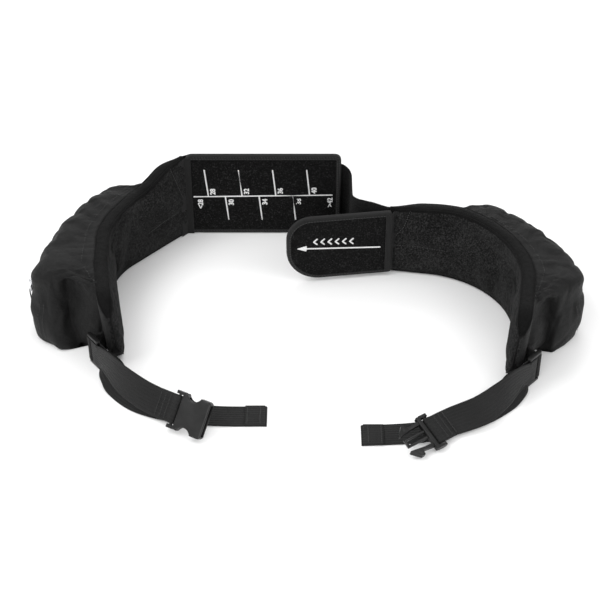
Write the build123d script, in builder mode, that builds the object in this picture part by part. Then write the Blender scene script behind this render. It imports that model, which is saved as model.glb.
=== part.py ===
from build123d import *
import os
from collections import namedtuple
from math import acos, atan2, copysign, cos, degrees, hypot, radians, sin, tan

os.makedirs("parts", exist_ok=True)

# A padded hip belt: a lumbar panel with two hinged padded wings, each wing with a zipped pocket, a
# webbing strap and one half of a side-release buckle.  Millimetres and degrees.  X runs to the right,
# Y away from the open front, Z up.  The origin is the middle of the lumbar panel's lower edge, on the
# surface that the belt stands on, and the wings reach towards -Y.

# ---------------------------------------------------------------- webbing and clearances
WEBBING_WIDTH = 38.0
WEBBING_THICKNESS = 1.6
WEBBING_FLOOR = 6.0            # lower edge of the webbing where it stands upright at the anchors
RUN_GAP = 0.3                  # clearance of moving or touching pieces of different bodies
FLAT_LIE = 1.1                 # height of the middle of webbing that lies flat

# ---------------------------------------------------------------- lumbar panel
PANEL_LEFT = -118.0
PANEL_RIGHT = 114.0
PANEL_HEIGHT = 139.0
PANEL_BACK = 3.0               # y of the back face
PANEL_CORNER = 9.0
PANEL_BINDING = 7.0            # width of the binding tape round the panel
LOOP_THICKNESS = 1.5
LUMBAR_FOAM = 3.5
STIFFENER_THICKNESS = 1.5
PANEL_THICKNESS = 2*LOOP_THICKNESS + STIFFENER_THICKNESS + LUMBAR_FOAM

STITCH_PROUD = 0.6             # how far embroidery stands out of its cloth
STITCH_WIDTH = 3.0
SCALE_PITCH = 25.4             # one inch between the marks of the size scale
SCALE_FIRST = -85.5
SCALE_MARKS = 7
SCALE_LEFT, SCALE_RIGHT = -108.0, 102.0
SCALE_LOW, SCALE_HIGH = 67.0, 70.0      # height of the base line at its two ends
SCALE_TOP, SCALE_BOTTOM = 115.0, 25.0   # reach of the marks above and below the base line
SCALE_LEAN = 5.5

# ---------------------------------------------------------------- wings
MESH_THICKNESS = 3.0
FOAM_THICKNESS = 15.0
SHELL_THICKNESS = 1.5
EDGE_BAND = 3.0                # thickness of the band that closes the foam's free edges
WING_THICKNESS = MESH_THICKNESS + FOAM_THICKNESS + SHELL_THICKNESS
NOSE_RADIUS = 28.0
TALLER_THAN_ALL = 200.0

# ---------------------------------------------------------------- flap and tongue of the right wing
HOOK_THICKNESS = 1.5
FLAP_CLOTH = 3.0
FLAP_START = -30.0             # the hidden end of the flap, behind the panel
FLAP_PAST_PANEL = 2.0          # straight run of the flap past the panel's right edge
FLAP_BOTTOM, FLAP_TOP = 3.0, 118.0
FLAP_CORNER = 10.0
FLAP_SWEEP = 40.0

TONGUE_LENGTH = 153.0
TONGUE_BOTTOM, TONGUE_TOP = 5.0, 111.0
TONGUE_BINDING = 6.0
TONGUE_CORE = 5.0
TONGUE_HEADING = 188.0
TONGUE_TIP_TOP, TONGUE_TIP_BOTTOM = 36.0, 50.0
TONGUE_THICKNESS = LOOP_THICKNESS + TONGUE_CORE + HOOK_THICKNESS
ARROW_START = 16.0
ARROW_LENGTH = 122.0
ARROW_HEIGHT = 53.0            # at the arrow's start
ARROW_TILT = 4.0
ARROW_HEAD = 16.0

# ---------------------------------------------------------------- pockets and zips
POCKET_WALL = 1.5
POCKET_FLOOR = 6.0
POCKET_TOP = 110.0             # at the wing; the top slopes down and outwards
POCKET_SLOPE = 0.22
POCKET_CAP = 106.0             # level limit of the top near the pocket's ends
POCKET_CORNER = 20.0
ZIP_HEIGHT = 76.0
ZIP_SLOT = 8.0
ZIP_MARGIN = 21.0              # closed length of the outer wall at each end of the slot
TAPE_THICKNESS = 1.0
COIL_WIDTH = 2.4
COIL_PROUD = 0.6
STOP_LENGTH = 3.0
SLIDER_LENGTH = 11.0
SLIDER_HEIGHT = 9.0
SLIDER_THICKNESS = 3.0
BRIDGE_REACH = 2.4             # from the slider's face to the middle of its bridge bar
BRIDGE_RADIUS = 0.9
BRIDGE_SPAN = 3.2
BRIDGE_POST = 1.2
TAB_LENGTH = 17.0
TAB_WIDTH = 6.5
TAB_THICKNESS = 1.6
TAB_HOLE = 13.5                # from the bridge bar down to the middle of the cord hole
TAB_HOLE_RADIUS = 1.7
PULL_CORD = 1.8                # diameter of the pull cord
CORD_ROUTE = [(2.2, -39.0), (2.2, -30.5), (2.9, -22.0), (2.35, -13.5),
              (-2.35, -13.5), (-2.9, -22.0), (-2.2, -30.5), (-2.2, -39.0)]   # (outwards, up)
GRIP_LENGTH = 21.0
GRIP_DEPTH = 7.6
GRIP_WIDTH = 7.0

# ---------------------------------------------------------------- ladder locks and buckles
BAR_RADIUS = 2.0
LOCK_RAIL = 4.0                # height of the rails above and below the webbing
LOCK_CLEAR = 1.0               # between the webbing's edge and a rail
LOCK_HALF = 3.0                # half of the rails' thickness
LOCK_SLOT = 5.0
LOCK_MIDDLE = 4.0
LOCK_WINDOW = 7.0
LOCK_FRONT = 5.0
LEG_LENGTH = 3.0               # webbing past the front bar before it is free to twist
WRAP_INNER = BAR_RADIUS + RUN_GAP
WRAP_OUTER = WRAP_INNER + WEBBING_THICKNESS
SEWN_TAB = 30.0                # doubled webbing sewn behind a buckle's bar
HEM_LENGTH = 26.0

BUCKLE_WIDTH = 50.0
EAR_THICKNESS = 8.0
EAR_BACK = 5.0
EAR_INNER = WEBBING_WIDTH/2 + 2.0
SOCKET_BACK = 6.0
SOCKET_LENGTH = 42.0
SOCKET_THICKNESS = 12.0
SOCKET_CAVITY = 7.0
SOCKET_WALL = 4.0
NOTCH_RADIUS = 11.0
NOTCH_ALONG = 22.0
BASE_FRONT = 12.0
PRONG_LENGTH = 46.0
PRONG_THICKNESS = 6.0
PRONG_ROOT = 17.0
PRONG_GAP = 0.4
GUIDE_SPREAD = 4.5
GUIDE_WIDTH = 3.0
GUIDE_LENGTH = 44.0

# ---------------------------------------------------------------- the two sides
# A route is a start point, a heading and legs: a line is (length, 0), an arc is (radius, turn), and
# a turn to the left is positive.  outer is +1 where the wing's outer face lies left of its route.
# heights are (distance along the first heading, top).  The pocket is given by distances along the
# route and by how far it stands out of the wing's outer face; it leaves the wing at root and nose.
# The strap's runs are lists of (dx, dy, z, heading, tilt) from the rear bar of its ladder lock; lean
# is the side, +1 for left, that the upper edge tips to.
Pocket = namedtuple("Pocket", "root rear rear_depth middle middle_depth front front_depth nose")
Side = namedtuple("Side", "name route outer heights pocket anchor_back anchor_turn anchor_reach "
                          "lock_heading lean fixed tail")

PIVOT_GAP = 0.4                # between a wing's root and what it folds against
RIGHT_ROOT = (181.5, -103.0)

LEFT = Side(
    name="left",
    route=((PANEL_LEFT - PIVOT_GAP, -4.0), 229.0, [(118.0, 0), (100.0, 54.0), (137.0, 0)]),
    outer=-1,
    heights=[(0, 136.0), (90, 117.0), (400, 112.0)],
    pocket=Pocket(root=62.0, rear=97.0, rear_depth=46.0, middle=177.0, middle_depth=52.0,
                  front=265.0, front_depth=92.0, nose=312.0),
    anchor_back=30.0, anchor_turn=-75.0, anchor_reach=14.0,
    lock_heading=308.0, lean=1,
    fixed=[(30.6, -48.8, 32.0, 304.0, 14.0), (49.6, -72.8, 30.5, 312.0, 27.0),
           (75.6, -95.8, 27.0, 322.0, 37.0), (97.6, -109.8, 24.5, 330.0, 41.0)],
    tail=[(33.6, -40.8, 11.0, 304.0, 65.0), (43.6, -58.0, 2.5, 313.0, 86.0),
          (72.6, -85.8, FLAT_LIE, 328.0, 90.0), (114.6, -102.8, FLAT_LIE, 346.0, 90.0),
          (172.6, -111.8, FLAT_LIE, 357.0, 90.0), (237.6, -112.8, FLAT_LIE, 360.0, 90.0)])

RIGHT = Side(
    name="right",
    route=(RIGHT_ROOT, 350.0, [(60.0, 0), (135.0, -93.0), (80.0, 0)]),
    outer=1,
    heights=[(0, 112.0), (100, 120.0), (400, 102.0)],
    pocket=Pocket(root=76.0, rear=112.0, rear_depth=47.0, middle=188.9, middle_depth=53.0,
                  front=255.5, front_depth=70.0, nose=318.0),
    anchor_back=34.0, anchor_turn=60.0, anchor_reach=13.0,
    lock_heading=227.0, lean=-1,
    fixed=[(-34.0, -44.0, 31.5, 228.0, 14.0), (-56.0, -68.0, 30.0, 223.0, 30.0),
           (-84.5, -90.0, 25.0, 216.0, 48.0), (-122.7, -100.0, 14.5, 215.0, 70.0)],
    tail=[(-36.0, -34.0, 11.0, 230.0, 65.0), (-51.0, -49.0, 2.5, 222.0, 86.0),
          (-79.0, -71.0, FLAT_LIE, 214.0, 90.0), (-114.3, -89.0, FLAT_LIE, 204.0, 90.0),
          (-164.3, -106.0, FLAT_LIE, 190.0, 90.0), (-235.3, -111.5, FLAT_LIE, 180.0, 90.0)])

SIDES = (LEFT, RIGHT)
ANCHOR_TAB = 3.0               # length of an anchor loop's end that lies on the wing
ANCHOR_BEND = 8.0


# ---------------------------------------------------------------- plan routes
def travel(x, y, heading, leg, share=1.0):
    """Plan point and heading at a share of one leg."""
    size, turn = leg
    a = radians(heading)
    if turn == 0:
        return x + share*size*cos(a), y + share*size*sin(a), heading
    bend = copysign(size, turn)
    b = radians(heading + turn*share)
    return x + bend*(sin(b) - sin(a)), y - bend*(cos(b) - cos(a)), heading + turn*share


def leg_length(leg):
    size, turn = leg
    return size*radians(abs(turn)) if turn else size


def route_length(route):
    return sum(leg_length(leg) for leg in route[2])


def point_on(route, distance, offset=0.0):
    """Plan point and heading at a distance along a route, moved to its left by offset."""
    (x, y), heading, legs = route
    for leg in legs:
        share = min(distance/leg_length(leg), 1.0)
        x, y, heading = travel(x, y, heading, leg, share)
        distance -= share*leg_length(leg)
    a = radians(heading)
    return x - offset*sin(a), y + offset*cos(a), heading


def stretch(route, begin, end):
    """The part of a route between two distances along it."""
    legs = []
    covered = 0.0
    for size, turn in route[2]:
        length = leg_length((size, turn))
        share = (min(end, covered + length) - max(begin, covered))/length
        if share > 1e-6:
            legs.append((size, turn*share) if turn else (size*share, 0))
        covered += length
    x, y, heading = point_on(route, begin)
    return (x, y), heading, legs


def offset_spans(route, offset):
    """Start, middle and end of each leg, moved to the route's left by offset, and whether it bends."""
    (x, y), heading, legs = route
    spans = []
    for leg in legs:
        stops = []
        for share in (0, 0.5, 1):
            px, py, turned = travel(x, y, heading, leg, share)
            a = radians(turned)
            stops.append((px - offset*sin(a), py + offset*cos(a)))
        spans.append((stops, leg[1] != 0))
        x, y, heading = travel(x, y, heading, leg)
    return spans


def draw_spans(spans):
    """Edges of a moved route, for use inside a line builder."""
    edges = []
    for stops, bends in spans:
        edges.append(ThreePointArc(*stops) if bends else Line(stops[0], stops[2]))
    return edges


def band(route, near, far, z=0.0):
    """Plan face between two offsets to the left of a route."""
    sides = offset_spans(route, near), offset_spans(route, far)
    with BuildSketch(Plane.XY.offset(z)) as face:
        with BuildLine():
            for spans in sides:
                add(draw_spans(spans))
            Line(sides[0][0][0][0], sides[1][0][0][0])
            Line(sides[0][-1][0][2], sides[1][-1][0][2])
        make_face()
    return face.sketch


def ring_sector(centre, inner, outer, begin, end, z):
    """Plan face between two radii and two angles about a centre."""
    def at(radius, angle):
        return centre[0] + radius*cos(radians(angle)), centre[1] + radius*sin(radians(angle))
    middle = (begin + end)/2
    with BuildSketch(Plane.XY.offset(z)) as face:
        with BuildLine():
            ThreePointArc(at(inner, begin), at(inner, middle), at(inner, end))
            ThreePointArc(at(outer, begin), at(outer, middle), at(outer, end))
            Line(at(inner, begin), at(outer, begin))
            Line(at(inner, end), at(outer, end))
        make_face()
    return face.sketch


def circle_through(a, b, c):
    """Centre and radius of the circle through three plan points."""
    d = 2*(a[0]*(b[1] - c[1]) + b[0]*(c[1] - a[1]) + c[0]*(a[1] - b[1]))
    squares = [p[0]**2 + p[1]**2 for p in (a, b, c)]
    x = (squares[0]*(b[1] - c[1]) + squares[1]*(c[1] - a[1]) + squares[2]*(a[1] - b[1]))/d
    y = (squares[0]*(c[0] - b[0]) + squares[1]*(a[0] - c[0]) + squares[2]*(b[0] - a[0]))/d
    return (x, y), hypot(a[0] - x, a[1] - y)


def write(part, name):
    part.label = name
    export_step(part, f"parts/{name}.step")


# ---------------------------------------------------------------- lumbar panel
def panel_plane(y):
    """Upright plane that faces the open front, its x to the right and its y up."""
    return Plane(origin=(0, y, 0), x_dir=(1, 0, 0), z_dir=(0, -1, 0))


def panel_outline(plane, inset):
    width = PANEL_RIGHT - PANEL_LEFT
    with BuildSketch(plane) as outline:
        with Locations(((PANEL_LEFT + PANEL_RIGHT)/2, PANEL_HEIGHT/2)):
            RectangleRounded(width - 2*inset, PANEL_HEIGHT - 2*inset, max(PANEL_CORNER - inset, 1.0))
    return outline.sketch


layers = [("lumbar_back_loop", LOOP_THICKNESS), ("lumbar_stiffener", STIFFENER_THICKNESS),
          ("lumbar_foam", LUMBAR_FOAM), ("lumbar_front_loop", LOOP_THICKNESS)]
depth = PANEL_BACK
for layer_name, thickness in layers:
    with BuildPart() as panel_layer:
        extrude(panel_outline(panel_plane(depth), PANEL_BINDING), amount=thickness)
    write(panel_layer.part, layer_name)
    depth -= thickness
PANEL_FRONT = depth

with BuildPart() as lumbar_binding:
    extrude(panel_outline(panel_plane(PANEL_BACK), 0), amount=PANEL_THICKNESS)
    extrude(panel_outline(panel_plane(PANEL_BACK), PANEL_BINDING), amount=PANEL_THICKNESS,
            mode=Mode.SUBTRACT)
write(lumbar_binding.part, "lumbar_binding")


def scale_line(x):
    """Height of the size scale's base line."""
    return SCALE_LOW + (SCALE_HIGH - SCALE_LOW)*(x - SCALE_LEFT)/(SCALE_RIGHT - SCALE_LEFT)


with BuildPart() as size_scale:
    with BuildSketch(panel_plane(PANEL_FRONT)):
        half = STITCH_WIDTH/2
        Polygon((SCALE_LEFT, SCALE_LOW - half), (SCALE_RIGHT, SCALE_HIGH - half),
                (SCALE_RIGHT, SCALE_HIGH + half), (SCALE_LEFT, SCALE_LOW + half), align=None)
        for mark in range(SCALE_MARKS):
            x = SCALE_FIRST + SCALE_PITCH*mark
            root = scale_line(x)
            tip = SCALE_TOP if mark % 2 == 0 else SCALE_BOTTOM
            shift = -tan(radians(SCALE_LEAN))*(tip - root)
            Polygon((x - half, root), (x + half, root), (x + half + shift, tip),
                    (x - half + shift, tip), align=None)
    extrude(amount=STITCH_PROUD)
write(size_scale.part, "size_scale")


# ---------------------------------------------------------------- wings
def started_before(route, distance):
    """A route whose first line begins that much earlier."""
    (x, y), heading, legs = route
    x, y, _ = travel(x, y, heading, (-distance, 0))
    return (x, y), heading, [(legs[0][0] + distance, 0)] + legs[1:]


def wing_layer(side, near, far, inset=0.0, before=0.0):
    """Upright layer between two depths from the inner face, inset along the wing's free edges."""
    reach = route_length(side.route) - inset
    (x, y), heading, _ = side.route
    a = radians(heading)
    profile = Plane(origin=(x, y, 0), x_dir=(cos(a), sin(a), 0), z_dir=(sin(a), -cos(a), 0))
    above = [(d, top - inset) for d, top in side.heights]
    above += [(above[-1][0], 2*TALLER_THAN_ALL), (above[0][0], 2*TALLER_THAN_ALL)]
    nose = point_on(side.route, reach, side.outer*(near + far)/2)
    b = radians(nose[2])
    with BuildPart() as layer:
        route = started_before(stretch(side.route, 0, reach), before)
        extrude(band(route, side.outer*near, side.outer*far, inset), amount=TALLER_THAN_ALL)
        with BuildSketch(profile):
            Polygon(*above, align=None)
        extrude(amount=2*TALLER_THAN_ALL, both=True, mode=Mode.SUBTRACT)
        across = Axis((0, 0, 0), (-sin(b), cos(b), 0))
        corners = layer.edges().filter_by(across).sort_by_distance((nose[0], nose[1], NOSE_RADIUS*2))
        fillet(corners[:2], radius=NOSE_RADIUS - inset)
    return layer.part


def build_wing(side):
    foam_far = MESH_THICKNESS + FOAM_THICKNESS
    write(wing_layer(side, 0, MESH_THICKNESS), f"{side.name}_inner_mesh")
    write(wing_layer(side, MESH_THICKNESS, foam_far, EDGE_BAND), f"{side.name}_foam_pad")
    room = wing_layer(side, MESH_THICKNESS - 1, foam_far + 1, EDGE_BAND, before=1.0)
    with BuildPart() as edge_band:
        add(wing_layer(side, MESH_THICKNESS, foam_far))
        add(room, mode=Mode.SUBTRACT)
    write(edge_band.part, f"{side.name}_edge_band")
    write(wing_layer(side, foam_far, WING_THICKNESS), f"{side.name}_outer_shell")


# ---------------------------------------------------------------- pockets
POCKET_FACE = WING_THICKNESS + RUN_GAP
Zip = namedtuple("Zip", "centre radius front rear closed sense")


def pocket_corners(side):
    """Plan points of a pocket: root and nose on the wing, and three points of its outer wall."""
    pocket = side.pocket
    face = side.outer*POCKET_FACE
    root = point_on(side.route, pocket.root, face)[:2]
    rear = point_on(side.route, pocket.rear, face + side.outer*pocket.rear_depth)[:2]
    middle = point_on(side.route, pocket.middle, face + side.outer*pocket.middle_depth)[:2]
    front = point_on(side.route, pocket.front, face + side.outer*pocket.front_depth)[:2]
    nose = point_on(side.route, pocket.nose, face)[:2]
    return root, rear, middle, front, nose


def zip_of(side):
    """The zip's circle, its two end angles, the closed slider's angle and the way that it opens."""
    _, rear, middle, front, _ = pocket_corners(side)
    centre, radius = circle_through(rear, middle, front)
    first = degrees(atan2(front[1] - centre[1], front[0] - centre[0]))
    last = degrees(atan2(rear[1] - centre[1], rear[0] - centre[0]))
    if side.outer < 0:
        first %= 360
        last %= 360
    sense = copysign(1, last - first)
    margin = degrees(ZIP_MARGIN/radius)
    front_end = first + sense*margin
    rear_end = last - sense*margin
    closed = front_end + sense*degrees((STOP_LENGTH + SLIDER_LENGTH/2 + 1)/radius)
    return Zip(centre, radius, front_end, rear_end, closed, sense)


def zip_travel(side):
    """Degrees that the slider turns about the zip's centre, from closed to open."""
    track = zip_of(side)
    spare = degrees((STOP_LENGTH + SLIDER_LENGTH/2 + 1)/track.radius)
    return abs(track.rear - track.closed) - spare


def pocket_outline(side, z, inset):
    root, rear, middle, front, nose = pocket_corners(side)
    with BuildSketch(Plane.XY.offset(z)) as outline:
        with BuildLine():
            base = stretch(side.route, side.pocket.root, side.pocket.nose)
            add(draw_spans(offset_spans(base, side.outer*POCKET_FACE)))
            Line(root, rear)
            ThreePointArc(rear, middle, front)
            Line(front, nose)
        make_face()
        for corner in (front, rear):
            fillet(outline.vertices().sort_by_distance(corner)[0], radius=POCKET_CORNER)
        if inset:
            offset(amount=-inset, mode=Mode.REPLACE)
    return outline.sketch


def pocket_block(side, inset):
    """The pocket's outer form, or with an inset the room inside its walls."""
    x, y, heading = point_on(side.route, side.pocket.middle, side.outer*POCKET_FACE)
    a = radians(heading)
    outwards = (-side.outer*sin(a), side.outer*cos(a))
    top = Plane(origin=(x, y, POCKET_TOP - inset),
                z_dir=(POCKET_SLOPE*outwards[0], POCKET_SLOPE*outwards[1], 1))
    with BuildPart() as block:
        extrude(pocket_outline(side, POCKET_FLOOR + inset, inset), amount=TALLER_THAN_ALL)
        split(bisect_by=top, keep=Keep.BOTTOM)
        split(bisect_by=Plane.XY.offset(POCKET_CAP - inset), keep=Keep.BOTTOM)
    return block.part


def zip_band(side, inner, outer, low, high, front_gap=0.0, rear_gap=0.0):
    """Curved bar along the zip, between two depths from the pocket's outer face and two heights."""
    track = zip_of(side)
    begin = track.front + track.sense*degrees(front_gap/track.radius)
    end = track.rear - track.sense*degrees(rear_gap/track.radius)
    face = ring_sector(track.centre, track.radius + inner, track.radius + outer, begin, end,
                       ZIP_HEIGHT + low)
    return extrude(face, amount=high - low, mode=Mode.PRIVATE)


def build_pocket(side):
    half_slot, half_coil = ZIP_SLOT/2, COIL_WIDTH/2
    with BuildPart() as pocket:
        add(pocket_block(side, 0))
        add(pocket_block(side, POCKET_WALL), mode=Mode.SUBTRACT)
        add(zip_band(side, -2*POCKET_WALL, POCKET_WALL, -half_slot, half_slot), mode=Mode.SUBTRACT)
    write(pocket.part, f"{side.name}_pocket")

    tape_skin = (POCKET_WALL - TAPE_THICKNESS)/2
    with BuildPart() as zip_tapes:
        add(zip_band(side, tape_skin - POCKET_WALL, -tape_skin, half_coil, half_slot))
        add(zip_band(side, tape_skin - POCKET_WALL, -tape_skin, -half_slot, -half_coil))
    write(zip_tapes.part, f"{side.name}_zip_tapes")

    with BuildPart() as zip_coil:
        add(zip_band(side, -POCKET_WALL, COIL_PROUD, -half_coil, half_coil, STOP_LENGTH, STOP_LENGTH))
    write(zip_coil.part, f"{side.name}_zip_coil")

    slot_length = radians(abs(zip_of(side).rear - zip_of(side).front))*zip_of(side).radius
    with BuildPart() as zip_stops:
        for gaps in ((0, slot_length - STOP_LENGTH), (slot_length - STOP_LENGTH, 0)):
            add(zip_band(side, -POCKET_WALL, 2*COIL_PROUD, -half_coil, half_coil, *gaps))
    write(zip_stops.part, f"{side.name}_zip_stops")


# ---------------------------------------------------------------- zip sliders and pulls
SLIDER_INNER = COIL_PROUD + RUN_GAP
SLIDER_OUTER = SLIDER_INNER + SLIDER_THICKNESS
BRIDGE_OUT = SLIDER_OUTER + BRIDGE_REACH


def bridge_plane(side, across=0.0):
    """Plane across the slider's bridge bar: x outwards, y up, moved along the zip by across."""
    track = zip_of(side)
    a = radians(track.closed)
    reach = track.radius + BRIDGE_OUT
    origin = (track.centre[0] + reach*cos(a), track.centre[1] + reach*sin(a), ZIP_HEIGHT)
    return Plane(origin=origin, x_dir=(cos(a), sin(a), 0), z_dir=(sin(a), -cos(a), 0)).offset(across)


def build_slider(side):
    track = zip_of(side)
    half = degrees(SLIDER_LENGTH/2/track.radius)
    outer_span = BRIDGE_SPAN/2 + BRIDGE_POST
    with BuildPart() as slider:
        extrude(ring_sector(track.centre, track.radius + SLIDER_INNER, track.radius + SLIDER_OUTER,
                            track.closed - half, track.closed + half, ZIP_HEIGHT - SLIDER_HEIGHT/2),
                amount=SLIDER_HEIGHT)
        ends = slider.edges().filter_by(GeomType.LINE).group_by(Axis.Z)
        fillet(ends[0] + ends[-1], radius=2.5)
        for begin in (-outer_span, BRIDGE_SPAN/2):
            with BuildSketch(bridge_plane(side, begin)):
                with Locations((-BRIDGE_REACH/2 - 0.2, 0)):
                    Rectangle(BRIDGE_REACH + 0.4, 2*BRIDGE_RADIUS)
                Circle(BRIDGE_RADIUS)
            extrude(amount=BRIDGE_POST)
        with BuildSketch(bridge_plane(side, -outer_span)):
            Circle(BRIDGE_RADIUS)
        extrude(amount=2*outer_span)
    write(slider.part, f"{side.name}_zip_slider")


def build_pull(side):
    eye = BRIDGE_RADIUS + RUN_GAP
    eye_width = BRIDGE_SPAN - 2*RUN_GAP
    neck_end = -BRIDGE_REACH - 2.0
    with BuildPart() as tab:
        with BuildSketch(bridge_plane(side, -eye_width/2)):
            Circle(eye + 1.1)
            with Locations((0, neck_end/2)):
                Rectangle(TAB_THICKNESS, -neck_end)
            Circle(eye, mode=Mode.SUBTRACT)
        extrude(amount=eye_width)
        plate = bridge_plane(side)
        face = Plane(origin=plane_point(plate, -TAB_THICKNESS/2, 0), x_dir=plate.z_dir, z_dir=plate.x_dir)
        up = copysign(1, face.y_dir.Z)
        with BuildSketch(face):
            with Locations((0, up*(neck_end - TAB_LENGTH)/2)):
                RectangleRounded(TAB_WIDTH, TAB_LENGTH + neck_end, 2.2)
            with Locations((0, -up*TAB_HOLE)):
                Circle(TAB_HOLE_RADIUS, mode=Mode.SUBTRACT)
        extrude(amount=TAB_THICKNESS)
    write(tab.part, f"{side.name}_pull_tab")

    plate = bridge_plane(side)
    points = [plane_point(plate, *p) for p in CORD_ROUTE]
    radii = corner_radii(CORD_ROUTE)
    with BuildPart() as cord:
        with BuildLine() as path:
            FilletPolyline(*points, radius=radii)
        with BuildSketch(Plane(origin=points[0], z_dir=points[1] - points[0])):
            Circle(PULL_CORD/2)
        sweep()
    tube = pi_r2(PULL_CORD/2)*path.wire().length
    print(side.name, "pull cord: length", round(path.wire().length, 2), "radii",
          [round(r, 2) for r in radii], "volume share", round(cord.part.volume/tube, 4))
    write(cord.part, f"{side.name}_pull_cord")

    top = CORD_ROUTE[0][1]
    with BuildPart() as grip:
        with BuildSketch(Plane(origin=plane_point(plate, 0, top), x_dir=plate.x_dir, z_dir=(0, 0, -1))):
            RectangleRounded(GRIP_DEPTH, GRIP_WIDTH, 2.0)
        extrude(amount=GRIP_LENGTH)
        fillet(grip.faces().sort_by(Axis.Z)[0].edges(), radius=1.8)
    write(grip.part, f"{side.name}_pull_grip")


def plane_point(plane, x, y):
    """World point at local x and y of a plane."""
    return plane.origin + plane.x_dir*x + plane.y_dir*y


def pi_r2(radius):
    return acos(-1)*radius**2


def corner_radii(route):
    """Largest tangent arc at each corner of a cord's route: 0.45 of the shorter run."""
    radii = []
    for a, b, c in zip(route, route[1:], route[2:]):
        before = atan2(b[1] - a[1], b[0] - a[0])
        after = atan2(c[1] - b[1], c[0] - b[0])
        turn = acos(cos(after - before))
        shorter = min(hypot(b[0] - a[0], b[1] - a[1]), hypot(c[0] - b[0], c[1] - b[1]))
        radii.append(0.45*shorter/tan(turn/2))
    return radii


# ---------------------------------------------------------------- flap and tongue
FLAP_NEAR = PANEL_BACK + RUN_GAP
FLAP_ROUTE = ((FLAP_START, FLAP_NEAR), 0.0,
              [(PANEL_RIGHT + FLAP_PAST_PANEL - FLAP_START, 0), (FLAP_CORNER, -90.0), (33.0, 0),
               (FLAP_SWEEP, 55.0), (44.9, 0)])
FLAP_FIELD = PANEL_RIGHT - 2.0 - FLAP_START     # length of the hook field behind the panel

with BuildPart() as flap_hook:
    extrude(band(stretch(FLAP_ROUTE, 0, FLAP_FIELD), 0, HOOK_THICKNESS, FLAP_BOTTOM),
            amount=FLAP_TOP - FLAP_BOTTOM)
write(flap_hook.part, "flap_hook")

with BuildPart() as flap_fabric:
    extrude(band(FLAP_ROUTE, HOOK_THICKNESS, HOOK_THICKNESS + FLAP_CLOTH, FLAP_BOTTOM),
            amount=FLAP_TOP - FLAP_BOTTOM)
write(flap_fabric.part, "flap_fabric")

TONGUE_ROOT = (RIGHT_ROOT[0] + 2.5, RIGHT_ROOT[1] - 1.3)


def tongue_plane(depth):
    """Upright plane of the tongue: x from its root to its tip, y up, depth from its hook face."""
    a = radians(TONGUE_HEADING)
    plane = Plane(origin=(*TONGUE_ROOT, 0), x_dir=(cos(a), sin(a), 0), z_dir=(sin(a), -cos(a), 0))
    return plane.offset(-depth)


def tongue_outline(plane, inset):
    with BuildSketch(plane) as outline:
        with Locations((TONGUE_LENGTH/2, (TONGUE_BOTTOM + TONGUE_TOP)/2)):
            Rectangle(TONGUE_LENGTH - 2*inset, TONGUE_TOP - TONGUE_BOTTOM - 2*inset)
        tip = outline.vertices().group_by(Axis.X)[-1].sort_by(Axis.Y)
        fillet(tip[0], radius=TONGUE_TIP_BOTTOM - inset)
        fillet(outline.vertices().sort_by_distance((TONGUE_LENGTH, TONGUE_TOP))[0],
               radius=TONGUE_TIP_TOP - inset)
    return outline.sketch


tongue_layers = [("tongue_loop", LOOP_THICKNESS), ("tongue_core", TONGUE_CORE),
                 ("tongue_hook", HOOK_THICKNESS)]
depth = TONGUE_THICKNESS
for layer_name, thickness in tongue_layers:
    with BuildPart() as tongue_layer:
        extrude(tongue_outline(tongue_plane(depth), TONGUE_BINDING), amount=thickness)
    write(tongue_layer.part, layer_name)
    depth -= thickness

with BuildPart() as tongue_binding:
    extrude(tongue_outline(tongue_plane(TONGUE_THICKNESS), 0), amount=TONGUE_THICKNESS)
    extrude(tongue_outline(tongue_plane(TONGUE_THICKNESS), TONGUE_BINDING), amount=TONGUE_THICKNESS,
            mode=Mode.SUBTRACT)
write(tongue_binding.part, "tongue_binding")

with BuildPart() as fit_arrow:
    with BuildSketch(tongue_plane(TONGUE_THICKNESS + STITCH_PROUD)):
        half = STITCH_WIDTH/2
        neck = ARROW_LENGTH - ARROW_HEAD
        with Locations(Location((ARROW_START, ARROW_HEIGHT, 0), (0, 0, ARROW_TILT))):
            Polygon((0, -half), (neck, -half), (neck, -ARROW_HEAD/2), (ARROW_LENGTH, 0),
                    (neck, ARROW_HEAD/2), (neck, half), (0, half), align=None)
    extrude(amount=STITCH_PROUD)
write(fit_arrow.part, "fit_arrow")


# ---------------------------------------------------------------- anchor loops and ladder locks
LOCK_LOW = WEBBING_FLOOR - LOCK_CLEAR - LOCK_RAIL
LOCK_TALL = WEBBING_WIDTH + 2*(LOCK_CLEAR + LOCK_RAIL)
MIDDLE_BAR = BAR_RADIUS + LOCK_SLOT              # where each bar begins, from the rear bar's middle
FRONT_BAR = MIDDLE_BAR + LOCK_MIDDLE + LOCK_WINDOW
LOCK_END = FRONT_BAR + LOCK_FRONT
LEG_END = LOCK_END + LEG_LENGTH
LEG_OFFSET = (WRAP_INNER + WRAP_OUTER)/2
WRAP_BEND = MIDDLE_BAR + LOCK_MIDDLE/2            # middle of the strap's turn round the middle bar


def anchor_route(side):
    """Middle line of the anchor webbing, from the wing's outer face to the lock's rear bar."""
    middle = side.outer*(WING_THICKNESS + WEBBING_THICKNESS)
    x, y, heading = point_on(side.route, route_length(side.route) - side.anchor_back, middle)
    return (x, y), heading, [(ANCHOR_TAB, 0), (ANCHOR_BEND, side.anchor_turn), (side.anchor_reach, 0)]


def rear_bar(side):
    """Plan point of the ladder lock's rear bar."""
    route = anchor_route(side)
    return point_on(route, route_length(route))[:2]


def lock_plane(side, z):
    """Level plane at the rear bar, its x along the strap."""
    a = radians(side.lock_heading)
    return Plane(origin=(*rear_bar(side), z), x_dir=(cos(a), sin(a), 0), z_dir=(0, 0, 1))


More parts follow.
